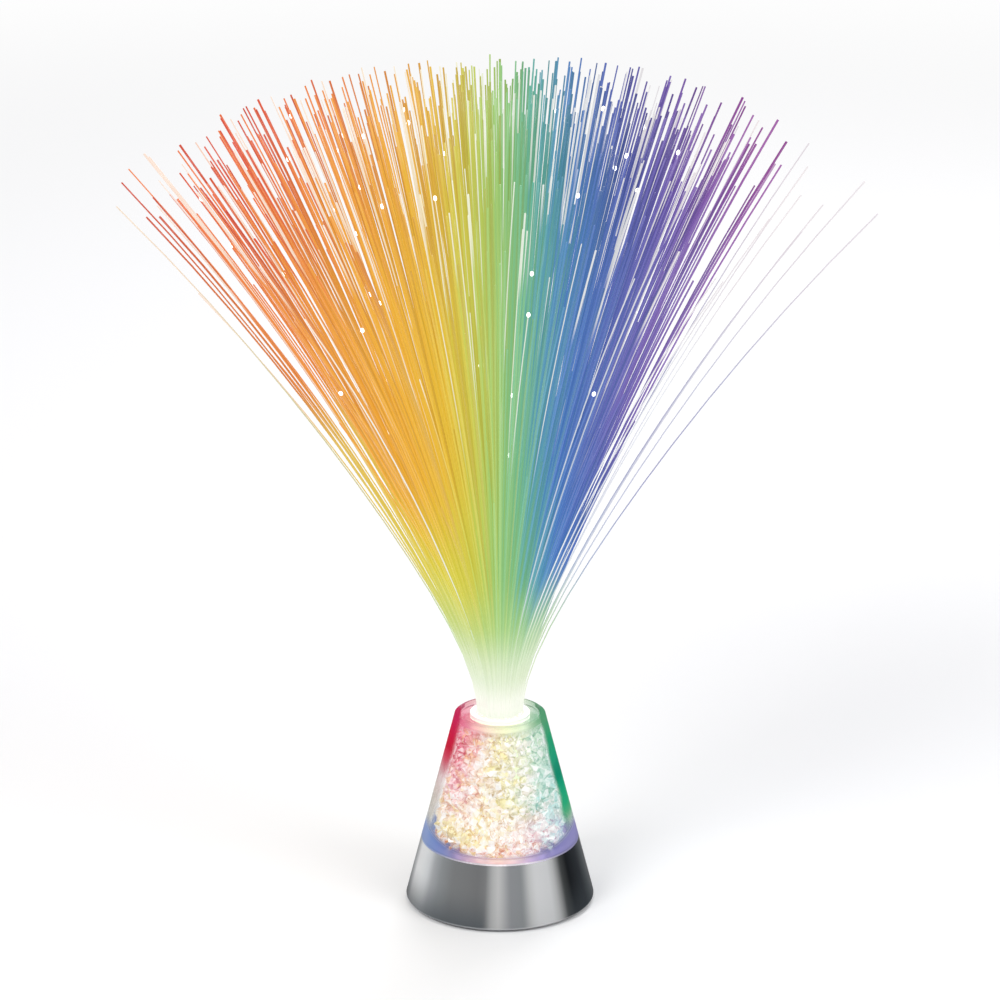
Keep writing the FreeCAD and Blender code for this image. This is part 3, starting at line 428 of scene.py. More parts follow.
def clear_wall(settings):
    """Clear moulded plastic, lit through its edge: red left, green right, blue at the foot.

    The light, and a highlight along the seam, are painted into the wall; where the light is
    strong, a plain shader that shines takes the clear one's place. Side is the way across the
    cone, from -1 at the lamp's left to 1 at its right.
    """
    finish = Finish("clear_wall")
    x, z = finish.axes("xz")
    vector = finish.vector()
    side = x / cone_radius(z)
    wave = finish.noise(vector, 90.0, 1.0) - 0.5
    edge = 0.10 + finish.rise(finish.facing(0.45), 0.24, 0.50) * 0.90

    # the two edges, with the painted light that each takes on its way up
    left_start = finish.rise(z, 60 * MM, 52 * MM) * 0.07
    left_band = finish.rise(side + left_start + wave * 0.10, -0.80, -0.93)
    left_band = left_band * edge * (0.45 + finish.rise(z, 52 * MM, 64 * MM) * 0.5)
    left_edge = finish.ramp(z, by_level([
        (31, "8f9cba"), (34, "a0a196"), (44, "a99a86"), (51, "b7938d"), (56, "bd7a80"),
        (61, "cb4a64"), (66, "bf1a36"), (71, settings.left_edge_tint), (78, "c22555"),
    ]))
    right_band = finish.rise(side - wave * 0.14, 0.865, 0.935) * edge
    right_band = right_band * (0.25 + finish.rise(z, 33 * MM, 41 * MM) * 0.70)
    right_edge = finish.ramp(z, by_level([
        (32, "88908f"), (37, "68a67c"), (42, "26a574"), (50, "079c73"), (56, "077c62"),
        (62, settings.right_edge_tint), (71, "1f986a"), (78, "4f986e"),
    ]))

    # the ring of painted light at the foot, its pale middle a painted highlight, and the thin
    # painted light under the rim
    lift = finish.maths("ABSOLUTE", side) ** 3 * (5 * MM)
    foot = finish.rise(z - lift, BAND_TOP + 3.4 * MM, BAND_TOP + 1.2 * MM)
    ring = finish.ramp(side * 0.5 + 0.5, [
        (0.015, "8fa2cc"), (0.05, "7b93c6"), (0.10, "7388c2"), (0.16, "7883b8"),
        (0.23, "9c86b4"), (0.31, "cfa9bc"), (0.40, "e9c3bf"), (0.50, "f1c6b8"),
        (0.60, "e3c3c8"), (0.69, "c4abce"), (0.77, "9a8fc6"), (0.85, settings.foot_tint),
        (0.97, "908dbf"),
    ])
    crown = finish.rise(z, RIM - 4.6 * MM, RIM - 2.4 * MM)
    tinge = finish.ramp(side * 0.5 + 0.5, [
        (0.0, "c22255"), (0.10, "e87a9c"), (0.25, "efb4ba"), (0.40, "f0e0cc"),
        (0.55, "eef0cc"), (0.75, "dde9cf"), (0.90, "84bc95"), (1.0, "4f986e"),
    ])

    # the clear plastic, with painted light in its edges, foot and rim line, and a painted
    # highlight along the seam with the band, strongest mid-way across
    left = finish.rise(side, -0.30, -0.95) * finish.rise(z, 50 * MM, 68 * MM)
    right = finish.rise(side, 0.40, 0.95) * finish.rise(z, 30 * MM, 45 * MM)
    line = finish.rise(z, RIM - 1.2 * MM, RIM - 0.6 * MM)
    # painted highlight: a white line along the seam with the band, fading to the sides
    seam_highlight = finish.rise(z, BAND_TOP + 0.9 * MM, BAND_TOP + 0.4 * MM) * (1 - side * side * 0.85)
    painted_light_tint = finish.mix(left * 0.20, "fdfdfd", "e0124e")
    painted_light_tint = finish.mix(right * 0.08, painted_light_tint, "0b9a63")
    painted_light_tint = finish.mix(foot * 0.5, painted_light_tint, ring)
    painted_light_tint = finish.mix(line * 0.3, painted_light_tint, "a9d68c")
    glow = finish.mix(left * 0.04, "000000", "e0124e")
    glow = finish.mix(seam_highlight * 0.62, glow, "f5f0f6")
    ripple = finish.noise(vector, 120.0, 2.0)
    relief = finish.bump(ripple, 0.08, 0.2 * MM)
    clear = finish.shader(
        base_color=painted_light_tint, roughness=0.03 + ripple * 0.04 + foot * 0.45, transmission_weight=1.0,
        ior=1.16, emission_color=glow, emission_strength=1.0, normal=relief,
    )

    # the painted light in the edges, the foot and under the rim, and where it shows
    edges = finish.maths("MAXIMUM", left_band, right_band)
    lit = finish.mix(finish.rise(side, -0.2, 0.2), left_edge, right_edge)
    lit = finish.mix(crown * finish.rise(edges, 0.8, 0.3), lit, tinge)
    lit = finish.mix(foot, lit, ring)
    painted_edge_light = finish.shader(
        base_color=finish.mix(0.8, lit, "000000"), roughness=0.2 + ripple * 0.1,
        ior=1.0, emission_color=lit, emission_strength=0.80, normal=relief,
    )
    share = finish.maths("MAXIMUM", edges, foot * (1 - seam_highlight) * 0.72)
    share = finish.maths("MAXIMUM", share, crown * 0.42)
    both = finish.node("MixShader", None, {0: share, 1: clear, 2: painted_edge_light})
    return finish.output(both.outputs[0])


def clear_tube():
    """Clear plastic behind the crystals, which takes up their light from side to side."""
    finish = Finish("clear_tube")
    x = finish.axes("x")[0]
    ripple = finish.noise(finish.vector(), 200.0, 2.0)
    colour = finish.mix(ripple * 0.3, "fbfbf2", "e9eedd")
    light = finish.ramp(x / (2 * TUBE_RADIUS) + 0.5, [
        (0.1, "ecc0b4"), (0.35, "f2dfc4"), (0.6, "f0ecc0"), (0.9, "cfe4cc"),
    ])
    return finish.surface(
        base_color=colour, roughness=0.08 + ripple * 0.1, transmission_weight=0.9, ior=1.3,
        emission_color=light, emission_strength=0.38,
    )


def frosted_floor():
    """Frosted plastic with the blue of the light below it."""
    finish = Finish("frosted_floor")
    grain = finish.noise(finish.vector(), 900.0, 2.0)
    colour = finish.mix(grain * 0.3, "aeacd6", "8684bc")
    return finish.surface(
        base_color=colour, roughness=0.4 + grain * 0.2, emission_color=colour,
        emission_strength=0.05, normal=finish.bump(grain, 0.2, 0.1 * MM),
    )


# Crystals ------------------------------------------------------------------------------------


def crystal_finish(settings):
    """Chipped clear lumps lit from among themselves, with colour caught in their cracks."""
    finish = Finish("crystal_chips")
    x, z = finish.axes("xz")
    vector = finish.vector()
    tone, jitter, outward = finish.stored("chip")
    across = (x / cone_radius(z)) * 0.5 + 0.5 + (jitter - 0.5) * 0.12

    # colour from side to side, at three levels
    high = finish.ramp(across, [
        (0.05, "d23a6c"), (0.10, "e07094"), (0.16, "e28f9e"), (0.24, "ecb5ae"), (0.36, "eedac8"),
        (0.50, "f0e8bc"), (0.66, "eeedd2"), (0.78, "e0ead0"), (0.88, "d2e7d3"), (0.97, "b4dcc0"),
    ])
    middle = finish.ramp(across, [
        (0.05, "dc98a2"), (0.11, "e8aab2"), (0.17, "f3c8c8"), (0.27, "f4dacb"), (0.40, "f0e2c0"),
        (0.52, "f0e9bc"), (0.63, "ecebd2"), (0.75, "d7e6d2"), (0.87, "c2e0d6"), (0.97, "bfe4dc"),
    ])
    low = finish.ramp(across, [
        (0.04, "ead6b2"), (0.15, "f3e3bf"), (0.30, "f6e9c6"), (0.50, "faf0d8"),
        (0.63, "f5e9e2"), (0.75, "ecdcdc"), (0.85, "e2e9e6"), (0.97, "d6e0e0"),
    ])
    level = z + (jitter - 0.5) * 8 * MM
    colour = finish.mix(finish.rise(level, 38 * MM, 52 * MM), low, middle)
    colour = finish.mix(finish.rise(level, 56 * MM, 70 * MM), colour, high)

    # stronger colour for the cracks and flecks, and for the painted shade in the crevices
    deep = finish.ramp(across, [
        (0.04, "c01c48"), (0.22, "c8485c"), (0.34, "c07a3a"), (0.50, "a98a34"),
        (0.62, "a3a04a"), (0.80, "5fae98"), (0.97, "2f9a78"),
    ])
    deep_low = finish.ramp(across, [
        (0.08, "b08a4a"), (0.30, "cf9a3c"), (0.50, "d98a3a"),
        (0.64, "d0705c"), (0.78, "c25a86"), (0.95, "8a86b8"),
    ])
    deep = finish.mix(finish.rise(z, 46 * MM, 34 * MM), deep, deep_low)
    # painted light: an orange glow at the foot of the heap, on the left and middle
    painted_orange_glow = finish.rise(z, 32.5 * MM, 28.5 * MM) * finish.rise(across, 0.66, 0.56)
    deep = finish.mix(painted_orange_glow, deep, "c8502c")
    colour = finish.mix(painted_orange_glow * 0.5, colour, "e2966c")

    # lumps that catch yellow, white or sky blue
    bent = finish.warped(vector, 300.0, 4 * MM)
    lump = finish.patches(finish.warped(vector, 120.0, 6 * MM), 250.0)
    sunny = finish.rise(lump, 0.56, 0.74) * finish.rise(across, 0.76, 0.58)
    colour = finish.mix(sunny * 0.40, colour, "f3e68e")
    colour = finish.mix(finish.rise(lump, 0.30, 0.12) * 0.45, colour, "fdf1f3")
    sky = finish.rise(lump, 0.40, 0.56) * finish.rise(across, 0.72, 0.84)
    sky = sky * finish.rise(z, 62 * MM, 50 * MM)
    colour = finish.mix(sky * 0.6, colour, "bfeaec")

    # cracks, specks and flecks, most of all at the upper left, and white glints
    patch = finish.patches(bent, 780.0)
    cracks = finish.rise(finish.cells(bent, 420.0, "DISTANCE_TO_EDGE"), 0.10, 0.0)
    veiled = finish.rise(finish.noise(vector, 210.0, 2.0), 0.42, 0.60)
    flecks = finish.rise(finish.noise(bent, 330.0), 0.62, 0.665)
    red = finish.rise(across, 0.30, 0.10) * finish.rise(z, 54 * MM, 66 * MM)
    colour = finish.mix(cracks * veiled * 0.62, colour, deep)
    specks = finish.rise(patch - red * 0.16, 0.20, 0.04)
    colour = finish.mix(specks * (0.34 + red * 0.4), colour, deep)
    colour = finish.mix(flecks * (0.6 + red * 0.3), colour, deep)
    colour = finish.mix(finish.rise(tone, 0.62, 0.92) * 0.7, colour, "ffffff")
    colour = finish.mix(finish.rise(patch, 0.74, 0.92) * 0.55, colour, "ffffff")
    colour = finish.mix(finish.rise(tone, 0.14, 0.0) * 0.35, colour, deep)
    # painted shade in the crevices: faces that turn away from the wall take the deep colour
    crevice_shade = finish.rise(outward, 0.66, 0.42)
    colour = finish.mix(crevice_shade * (0.30 + patch * 0.3), colour, deep)
    grain = finish.cells(bent, 900.0)
    return finish.surface(
        base_color=finish.mix(0.55, colour, "000000"), roughness=0.08 + tone * 0.2,
        ior=1.5, coat_weight=0.5, emission_color=colour, emission_strength=settings.glow,
        normal=finish.bump(grain, 0.4, 0.4 * MM),
    )


CHIP_CORNERS = 20


def chip_shape(chance, size):
    """Points and faces of one faceted lump about its own middle, turned any way."""
    lump = bmesh.new()
    stretch = [chance.uniform(0.78, 1.18) for axis in range(3)]
    turn = Euler([chance.uniform(0, 2 * math.pi) for axis in range(3)]).to_matrix()
    for point in range(CHIP_CORNERS):
        height = 1 - (2 * point + 1) / CHIP_CORNERS
        angle = point * GOLDEN_ANGLE + chance.uniform(-0.45, 0.45)
        ring = math.sqrt(1 - height * height)
        reach = size * chance.uniform(0.42, 0.57)
        way = (ring * math.cos(angle), ring * math.sin(angle), height)
        lump.verts.new(turn @ Vector([way[k] * reach * stretch[k] for k in range(3)]))
    bmesh.ops.convex_hull(lump, input=lump.verts)
    loose = [vertex for vertex in lump.verts if not vertex.link_faces]
    bmesh.ops.delete(lump, geom=loose, context="VERTS")
    lump.verts.index_update()
    points = [v.co.copy() for v in lump.verts]
    faces = [[v.index for v in f.verts] for f in lump.faces]
    lump.free()
    return points, faces


def outwardness(corners):
    """How far a face looks away from the lamp's axis, from 0 to 1."""
    normal = (corners[1] - corners[0]).cross(corners[2] - corners[0]).normalized()
    away = Vector((corners[0].x, corners[0].y, 0)).normalized()
    return 0.5 + 0.5 * normal.dot(away)


CONE_WALL = 2.6 * MM
SPIGOT_BORE = 26.8 * MM
CRYSTAL_ROOF = RIM - 3.3 * MM
LAYER_SPACING, SHELL_SPACING, CHIP_SPACING = 0.60, 0.70, 0.64  # in crystals, so they overlap
CHIP_REACH = 0.46  # of a crystal's size, from its middle


def hollow(angle, level):
    """How far the heap of crystals falls back from the wall at a place, from 0 to 1."""
    return 0.5 + 0.5 * math.cos(5 * angle + level / (5 * MM)) * math.cos(level / (4 * MM))


def crystal_places(chance, settings):
    """Middles and sizes of the crystals, in shells that follow the wall from the floor up."""
    layers = round((CRYSTAL_ROOF - CRYSTAL_FLOOR) / (settings.size * LAYER_SPACING))
    for layer in range(layers):
        level = CRYSTAL_FLOOR + (layer + 0.5) * (CRYSTAL_ROOF - CRYSTAL_FLOOR) / layers
        room = min(cone_radius(level) - CONE_WALL, SPIGOT_BORE)
        size = min(settings.size, (room - TUBE_RADIUS) * 0.96)
        for shell in range(settings.shells):
            radius = room - size * (CHIP_REACH + SHELL_SPACING * shell)
            if radius < TUBE_RADIUS + size * CHIP_REACH:
                break
            count = round(2 * math.pi * radius / (size * CHIP_SPACING))
            start = chance.uniform(0, 2 * math.pi)
            for step in range(count):
                angle = start + 2 * math.pi * (step + chance.uniform(-0.25, 0.25)) / count
                bulk = size * chance.uniform(0.75, 1.12)
                fall = min(1.6 * MM, radius - TUBE_RADIUS - size * 0.4)
                depth = radius - hollow(angle, level) * fall - max(0.0, bulk - size) / 2
                middle = Vector((depth * math.cos(angle), depth * math.sin(angle), level))
                middle.z += chance.uniform(-0.5, 0.5) * MM
                middle.z = max(middle.z, CRYSTAL_FLOOR + bulk * 0.5)
                middle.z = min(middle.z, CRYSTAL_ROOF - bulk * 0.5)
                yield middle, bulk


def build_crystals(settings):
    """The crystals as one piece, each face of it with its tone, jitter and outwardness."""
    chance = random.Random(3)
    points, faces, kept = [], [], []
    for middle, bulk in crystal_places(chance, settings):
        shape, sides = chip_shape(chance, bulk)
        first = len(points)
        jitter = chance.random()
        points += [p + middle for p in shape]
        faces += [[first + k for k in side] for side in sides]
        for side in sides:
            outward = outwardness([shape[k] + middle for k in side[:3]])
            kept.append((chance.random(), jitter, outward))
    piece = new_piece("crystal_chips", points, faces, crystal_finish(settings), "base")
    store(piece, "chip", kept, "FACE")
    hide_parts("crystals")


# The spray of fibres -------------------------------------------------------------------------


def fibre_finish(settings):
    """Colour from the lamp's left to its right, white where the fibres leave the mouth.

    Each fibre keeps its place from left to right, how far a point is along it, and its tone.
    """
    finish = Finish("lit_fibres")
    place, along, tone = finish.stored("fibre")
    hue = place + (tone - 0.45) * 0.05

    # a fibre's colour along its length, stronger at its end
    body = finish.ramp(hue, [
        (0.0, "e8873a"), (0.10, "e7983a"), (0.20, "e9a636"), (0.29, "e9b136"), (0.36, "e6bd3b"),
        (0.41, "d8c84a"), (0.455, "c2ce5e"), (0.50, "a3cb74"), (0.55, "7abf92"), (0.60, "5ca1b6"),
        (0.66, "4f7dc2"), (0.75, "5a69b3"), (0.84, "7a66b2"), (0.92, "9070b4"), (1.0, "a066ae"),
    ])
    ends = finish.ramp(hue, [
        (0.0, "d8431e"), (0.12, "e0662a"), (0.25, "e08d2c"), (0.36, "dca834"), (0.44, "bfbe48"),
        (0.505, "84ba62"), (0.56, "4aa08c"), (0.63, "3b74a6"), (0.72, "3a4696"),
        (0.84, "5f3c94"), (1.0, "8e2f8a"),
    ])
    strong = finish.rise(along, 0.66, 1.0) * (0.35 + 0.65 * finish.rise(tone, 0.75, 0.25))
    colour = finish.mix(strong, body, ends)

    # darker ones, pale ones, and the warm light low on the lamp's left
    streak = finish.rise(tone, 0.0, 0.5)
    shadow = (1 - streak) * 0.22 * finish.rise(along, 0.10, 0.3)
    colour = finish.mix(shadow, colour, "000000")
    pale = finish.rise(tone + finish.rise(along, 0.60, 0.95) * 0.10, 0.86, 0.89)
    pale = pale * finish.rise(along, 0.40, 0.62)
    colour = finish.mix(pale * 0.72, colour, "f3f1e6")
    warm = finish.rise(along, 0.46, 0.20) * finish.rise(hue, 0.46, 0.36)
    colour = finish.mix(warm * 0.7, colour, "cdd650")
    skirt = finish.rise(place + along * 0.77, 0.55, 0.48) * finish.rise(along, 0.62, 0.45)
    colour = finish.mix(skirt * 0.7, colour, "dccd5e")

    # clear fibres, which have the highest tones, and the white neck of them all
    stray = finish.rise(tone, 0.943, 0.95) * (1 - finish.rise(along, 0.55, 0.85) * 0.75)
    clear = finish.ramp(place, [
        (0.2, "c9c79c"), (0.4, "d4dcc4"), (0.6, "c4d0dc"), (0.9, "a9abc6"),
    ])
    clear = finish.mix(finish.rise(tone, 0.975, 0.985), clear, "eef0f1")
    colour = finish.mix(stray * 0.88, colour, clear)
    colour = finish.mix(finish.rise(along, 0.27, 0.12) * 0.7, colour, "b6d590")
    colour = finish.mix(finish.rise(along, 0.175, 0.05), colour, "dde8cd")
    colour = finish.mix(finish.rise(along, 0.07, 0.015), colour, "f4f6ea")
    base = finish.mix(0.7, colour, "000000")
    return finish.surface(
        base_color=base, roughness=0.25, emission_color=colour,
        emission_strength=settings.glow,
    )


FRAME_RINGS = 6  # rings of the frame's own fibres round the middle one
CIRCLE_TO_HEXAGON = 1.21  # a circle's area over that of the hexagon inside it
FLARE_LENGTH = 18 * MM  # over which a fibre turns outward
FLARE_SHARE = 0.62  # part of its whole lean that it gets there
LEAN_POWER = 1.35  # how the lean grows from the bundle's middle outward
FIBRE_STEPS = 14  # straight runs that make a fibre's curve
ROD_SIDES = 5
SHORT_CHANCE, LIT_CHANCE = 0.42, 0.17
RAINBOW_LOW, RAINBOW_RISE = 125 * MM, 80 * MM  # it widens from this height above the mouth on
RAINBOW_HALF, RAINBOW_SPREAD = 73 * MM, 25 * MM  # half its width below there, and what is added
# the spray's pieces, each with the node that it replaces and its slot
FIBRE_GROUPS = (
    ("strands_core", "fibres_core", "fibres_green"),
    ("strands_inner", "fibres_inner", "fibres_mixed"),
    ("strands_middle", "fibres_middle", "fibres_mixed"),
    ("strands_outer", "fibres_outer", "fibres_violet"),
)


def honeycomb(rings):
    """Places in the bundle, packed in a honeycomb, in parts of its radius."""
    places = []
    for column in range(-rings, rings + 1):
        for row in range(max(-rings, -column - rings), min(rings, -column + rings) + 1):
            places.append(((column + row / 2) / rings, row * math.sqrt(3) / 2 / rings))
    return sorted(places, key=lambda p: (round(math.hypot(*p), 4), math.atan2(p[1], p[0])))


def spread_places(chance, count):
    """Places spread evenly over the six-sided bundle, in parts of its radius.

    They wind outward over the circle round it, and those beyond its sides are left out.
    """
    places = []
    slant = math.tan(math.radians(60))
    wound = count * CIRCLE_TO_HEXAGON
    for step in range(round(wound)):
        radius, angle = math.sqrt((step + 0.5) / wound), step * GOLDEN_ANGLE
        x, y = radius * math.cos(angle), radius * math.sin(angle)
        if abs(y) < slant / 2 and abs(x) + abs(y) / slant < 1:
            places.append((x + chance.uniform(-0.02, 0.02), y + chance.uniform(-0.02, 0.02)))
    return places


def fibre_line(place, length_of, lean, turn=0.0, sway=0.0):
    """Middle line of a fibre: upright at the mouth, flared out soon, drooping a little after.

    It leans by an angle that its place calls for, turned about the axis and swaying sideways.
    """
    share = min(1.0, math.hypot(*place))
    heading = math.atan2(place[1], place[0]) + turn
    outward = Vector((math.cos(heading), math.sin(heading), 0))
    across = Vector((-math.sin(heading), math.cos(heading), 0))
    point = Vector((place[0] * BUNDLE_RADIUS, place[1] * BUNDLE_RADIUS, MOUTH))
    line = [point.copy()]
    marks = [(k / FIBRE_STEPS) ** 1.5 for k in range(FIBRE_STEPS + 1)]
    for start, end in zip(marks, marks[1:]):
        middle = (start + end) / 2
        flared = 1 - math.exp(-middle * length_of / FLARE_LENGTH)
        tilt = lean * share ** LEAN_POWER * flared * (FLARE_SHARE + (1 - FLARE_SHARE) * middle)
        way = outward * math.sin(tilt) + Vector((0, 0, math.cos(tilt)))
        way += across * sway * middle * flared
        point = point + way.normalized() * length_of * (end - start)
        line.append(point.copy())
    return line


def fibre_plan(settings):
    """Every fibre as place, line, width, tone and whether its tip shines.

    The frame's own come first, and chance draws the lengths that they have there. Those at
    the bundle's corners and near its rim on the lamp's right are thin and clear. The finer
    ones lean out less on that side, and many of them are short.
    """
    chance = random.Random(11)
    toning = random.Random(5)
    for place in honeycomb(FRAME_RINGS):
        share = math.hypot(*place)
        length_of = settings.longest - settings.uneven * chance.uniform(0, 1) ** 2
        stray = share > 0.93 or (share > 0.8 and place[0] > 0.3)
        tone = toning.uniform(0.955, 1.0) if stray else toning.uniform(0, 0.86)
        width = settings.width * toning.uniform(1.1, 1.3) * (0.6 if stray else 1)
        yield place, fitted_line(place, length_of, settings.lean, width), width, tone, False
    for place in spread_places(toning, settings.count):
        share = min(1.0, math.hypot(*place))
        length_of = settings.longest - settings.uneven * toning.random() ** 1.6
        short = share > 0.3 and toning.random() < SHORT_CHANCE
        if short:
            length_of *= 0.97 - 0.50 * toning.random() ** 1.8
        lit = short and toning.random() < LIT_CHANCE
        turn, sway = toning.gauss(0, 0.035), toning.gauss(0, 0.03)
        tone = toning.random() * 0.94
        thin = tone > 0.86
        width = settings.width * (toning.uniform(0.5, 0.7) if thin else toning.uniform(0.7, 1.1))
        gathered = 1 - 0.29 * max(0.0, place[0]) / max(share, 0.01)
        lean = settings.lean * gathered * toning.uniform(0.95, 1.04)
        yield place, fitted_line(place, length_of, lean, width, turn, sway), width, tone, lit


def fitted_line(place, length_of, lean, width, turn=0.0, sway=0.0):
    """A fibre's line, drawn in a little until it lies inside the frame's box."""
    line = fibre_line(place, length_of, lean, turn, sway)
    while not inside_frame(line, width):
        lean *= 0.99
        length_of *= 0.997
        line = fibre_line(place, length_of, lean, turn, sway)
    return line


def inside_frame(line, margin):
    """Whether a line stays inside the frame's box by a margin."""
    return line[-1].z < FRAME_HIGH.z - margin and all(
        FRAME_LOW[axis] + margin < point[axis] < FRAME_HIGH[axis] - margin
        for point in line for axis in range(2)
    )


def hue_at(point):
    """Place of a point between the lamp's left, 0, and its right, 1; wider towards the tips."""
    high = min(1.0, max(0.0, (point.z - MOUTH - RAINBOW_LOW) / RAINBOW_RISE))
    half_width = RAINBOW_HALF + RAINBOW_SPREAD * high
    return min(1.0, max(0.0, 0.5 + 0.5 * point.x / half_width))


def rod_along(line, width):
    """Points and faces of a thin rod along a line, closed at both ends."""
    points, faces = [], []
    sides = ROD_SIDES
    for k, point in enumerate(line):
        way = (line[min(k + 1, len(line) - 1)] - line[max(k - 1, 0)]).normalized()
        first = way.cross(Vector((0, 1, 0.013))).normalized()
        second = way.cross(first)
        for side in range(sides):
            angle = 2 * math.pi * side / sides
            offset = first * math.cos(angle) + second * math.sin(angle)
            points.append(point + offset * (width / 2))
    for k in range(len(line) - 1):
        for side in range(sides):
            a, b = k * sides + side, k * sides + (side + 1) % sides
            faces.append((a, b, b + sides, a + sides))
    last = (len(line) - 1) * sides
    faces.append(tuple(range(sides))[::-1])
    faces.append(tuple(last + side for side in range(sides)))
    return points, faces


def build_fibres(settings):
    """The spray in four pieces, from its middle outward; gives back the tips that shine."""
    material = fibre_finish(settings)
    groups = [([], [], []) for group in FIBRE_GROUPS]
    tips = []
    for place, line, width, tone, lit in fibre_plan(settings):
        group = min(len(groups) - 1, int(math.hypot(*place) * len(groups)))
        points, faces, kept = groups[group]
        rod, sides = rod_along(line, width)
        first = len(points)
        points += rod
        faces += [tuple(first + k for k in side) for side in sides]
        travelled = 0.0
        for point, before in zip(line, line[:1] + line):
            travelled += (point - before).length / settings.longest
            kept += [(hue_at(point), travelled, tone)] * ROD_SIDES
        if lit:
            tips.append((line[-1], (line[-1] - line[-2]).normalized()))
    for (name, node, slot), (points, faces, kept) in zip(FIBRE_GROUPS, groups):
        piece = new_piece(name, points, faces, material, "spray", smooth=True)
        store(piece, "fibre", kept)
        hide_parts(node)
    return tips


def glow_finish():
    """White light at the end of a fibre."""
    finish = Finish("glowing_tips")
    colour = finish.mix(finish.noise(finish.vector(), 30.0) * 0.5, "ffffff", "f4fbff")
    return finish.surface(
        base_color=colour, roughness=0.3, emission_color=colour, emission_strength=2.2,
    )


TIP_RADIUS, TIP_STRETCH, TIP_SUNK = 0.7 * MM, 1.5, 0.6 * MM


def build_tips(tips):
    """Bright ends of the short fibres: small beads drawn out along the fibre."""
    points, faces = [], []
    for tip, way in tips:
        bead = bmesh.new()
        bmesh.ops.create_icosphere(bead, subdivisions=2, radius=TIP_RADIUS)
        turn = way.to_track_quat("Z", "Y").to_matrix()
        first = len(points)
        for vertex in bead.verts:
            vertex.co.z *= TIP_STRETCH
            points.append(turn @ vertex.co + tip - way * TIP_SUNK)
        faces += [[first + v.index for v in f.verts] for f in bead.faces]
        bead.free()
    new_piece("glowing_tips", points, faces, glow_finish(), "spray", smooth=True)


def potted_finish():
    """Fibre ends in clear resin: bright dots in a honeycomb, seen from below and above."""
    finish = Finish("potted_fibres")
    flat = finish.stretched(finish.vector(), (1.0, 1.0, 0.02))
    dots = finish.rise(finish.cells(flat, 1300.0), 0.45, 0.25)
    colour = finish.mix(dots, "d7e6c8", "ffffff")
    return finish.surface(
        base_color=colour, roughness=0.2, emission_color=colour, emission_strength=0.4,
        normal=finish.bump(dots, 0.3, 0.1 * MM),
    )


def sleeve_finish():
    """Pale plastic that shines at the mouth and is plain where it plugs into the tube."""
    finish = Finish("sleeve_plastic")
    z = finish.axes("z")[0]
    grain = finish.noise(finish.vector(), 500.0, 2.0)
    plain = finish.rise(z, MOUTH - 1.2 * MM, MOUTH - 3.0 * MM)
    colour = finish.mix(grain * 0.3, "fbfbf7", "e6ead9")
    colour = finish.mix(plain, colour, finish.mix(grain, "b9c0c4", "a3abb0"))
    return finish.surface(
        base_color=colour, roughness=0.3 + grain * 0.1,
        emission_color=finish.mix(plain, colour, "000000"), emission_strength=0.12,
    )


# Underside and inner parts -------------------------------------------------------------------


def moulded(name, colour, rough):
    """Moulded plastic with a fine spark-eroded skin."""
    finish = Finish(name)
    vector = finish.vector()
    skin = finish.noise(vector, 1800.0)
    cloud = finish.noise(vector, 45.0, 2.0)
    darker = tuple(part * 0.72 for part in shade(colour))
    return finish.surface(
        base_color=finish.mix(cloud * 0.35, colour, darker), roughness=rough + skin * 0.14,
        normal=finish.bump(skin, 0.25, 0.08 * MM),
    )


def plated(name, colour, rough):
    """Plated or drawn metal with faint marks."""
    finish = Finish(name)
    marks = finish.noise(finish.stretched(finish.vector(), (1, 1, 12)), 600.0)
    darker = tuple(part * 0.6 for part in shade(colour))
    return finish.surface(
        base_color=finish.mix(marks * 0.4, colour, darker), metallic=1.0,
        roughness=rough + marks * 0.18, normal=finish.bump(marks, 0.1, 0.05 * MM),
    )


def rubber():
    """Black rubber with dust in its grain."""
    finish = Finish("foot_rubber")
    dust = finish.noise(finish.vector(), 700.0, 4.0)
    colour = finish.mix(finish.rise(dust, 0.5, 0.8) * 0.4, "1b1b1c", "4a4946")
    return finish.surface(
        base_color=colour, roughness=0.75 + dust * 0.2, normal=finish.bump(dust, 0.3, 0.1 * MM),
    )


def circuit_board():
    """Green solder mask with copper tracks that show through as lighter lines."""
    finish = Finish("circuit_board")
    flat = finish.stretched(finish.vector(), (1, 1, 0))
    tracks = finish.rise(finish.cells(flat, 260.0, "DISTANCE_TO_EDGE"), 0.07, 0.03)
    colour = finish.mix(tracks, "0e5a3a", "1f7a4e")
    return finish.surface(
        base_color=colour, roughness=0.35, coat_weight=0.3,
        normal=finish.bump(tracks, 0.2, 0.05 * MM),
    )


def led_case():
    """Clear LED domes that glow blue, red and green by turns round the lamp's axis."""
    finish = Finish("led_case")
    x, y = finish.axes("xy")
    glow = finish.ramp(around(finish, x, y), [
        (0.0, "5a7cff"), (0.33, "ff4d5e"), (0.66, "58e07a"), (1.0, "5a7cff"),
    ])
    return finish.surface(
        base_color=(0.9, 0.9, 0.92), roughness=0.15, transmission_weight=0.4, ior=1.5,
        emission_color=glow, emission_strength=0.6,
    )


def cell_can():
    """Battery wrapper: a plain dark sleeve with brass-coloured ends."""
    finish = Finish("cell_can")
    x = finish.axes("x")[0]
    scuffs = finish.noise(finish.vector(), 300.0)
    ends = finish.rise(finish.maths("ABSOLUTE", x), 13.5 * MM, 13.7 * MM)
    colour = finish.mix(ends, "2d3136", "b08a4a")
    return finish.surface(base_color=colour, metallic=0.4, roughness=0.28 + scuffs * 0.15)


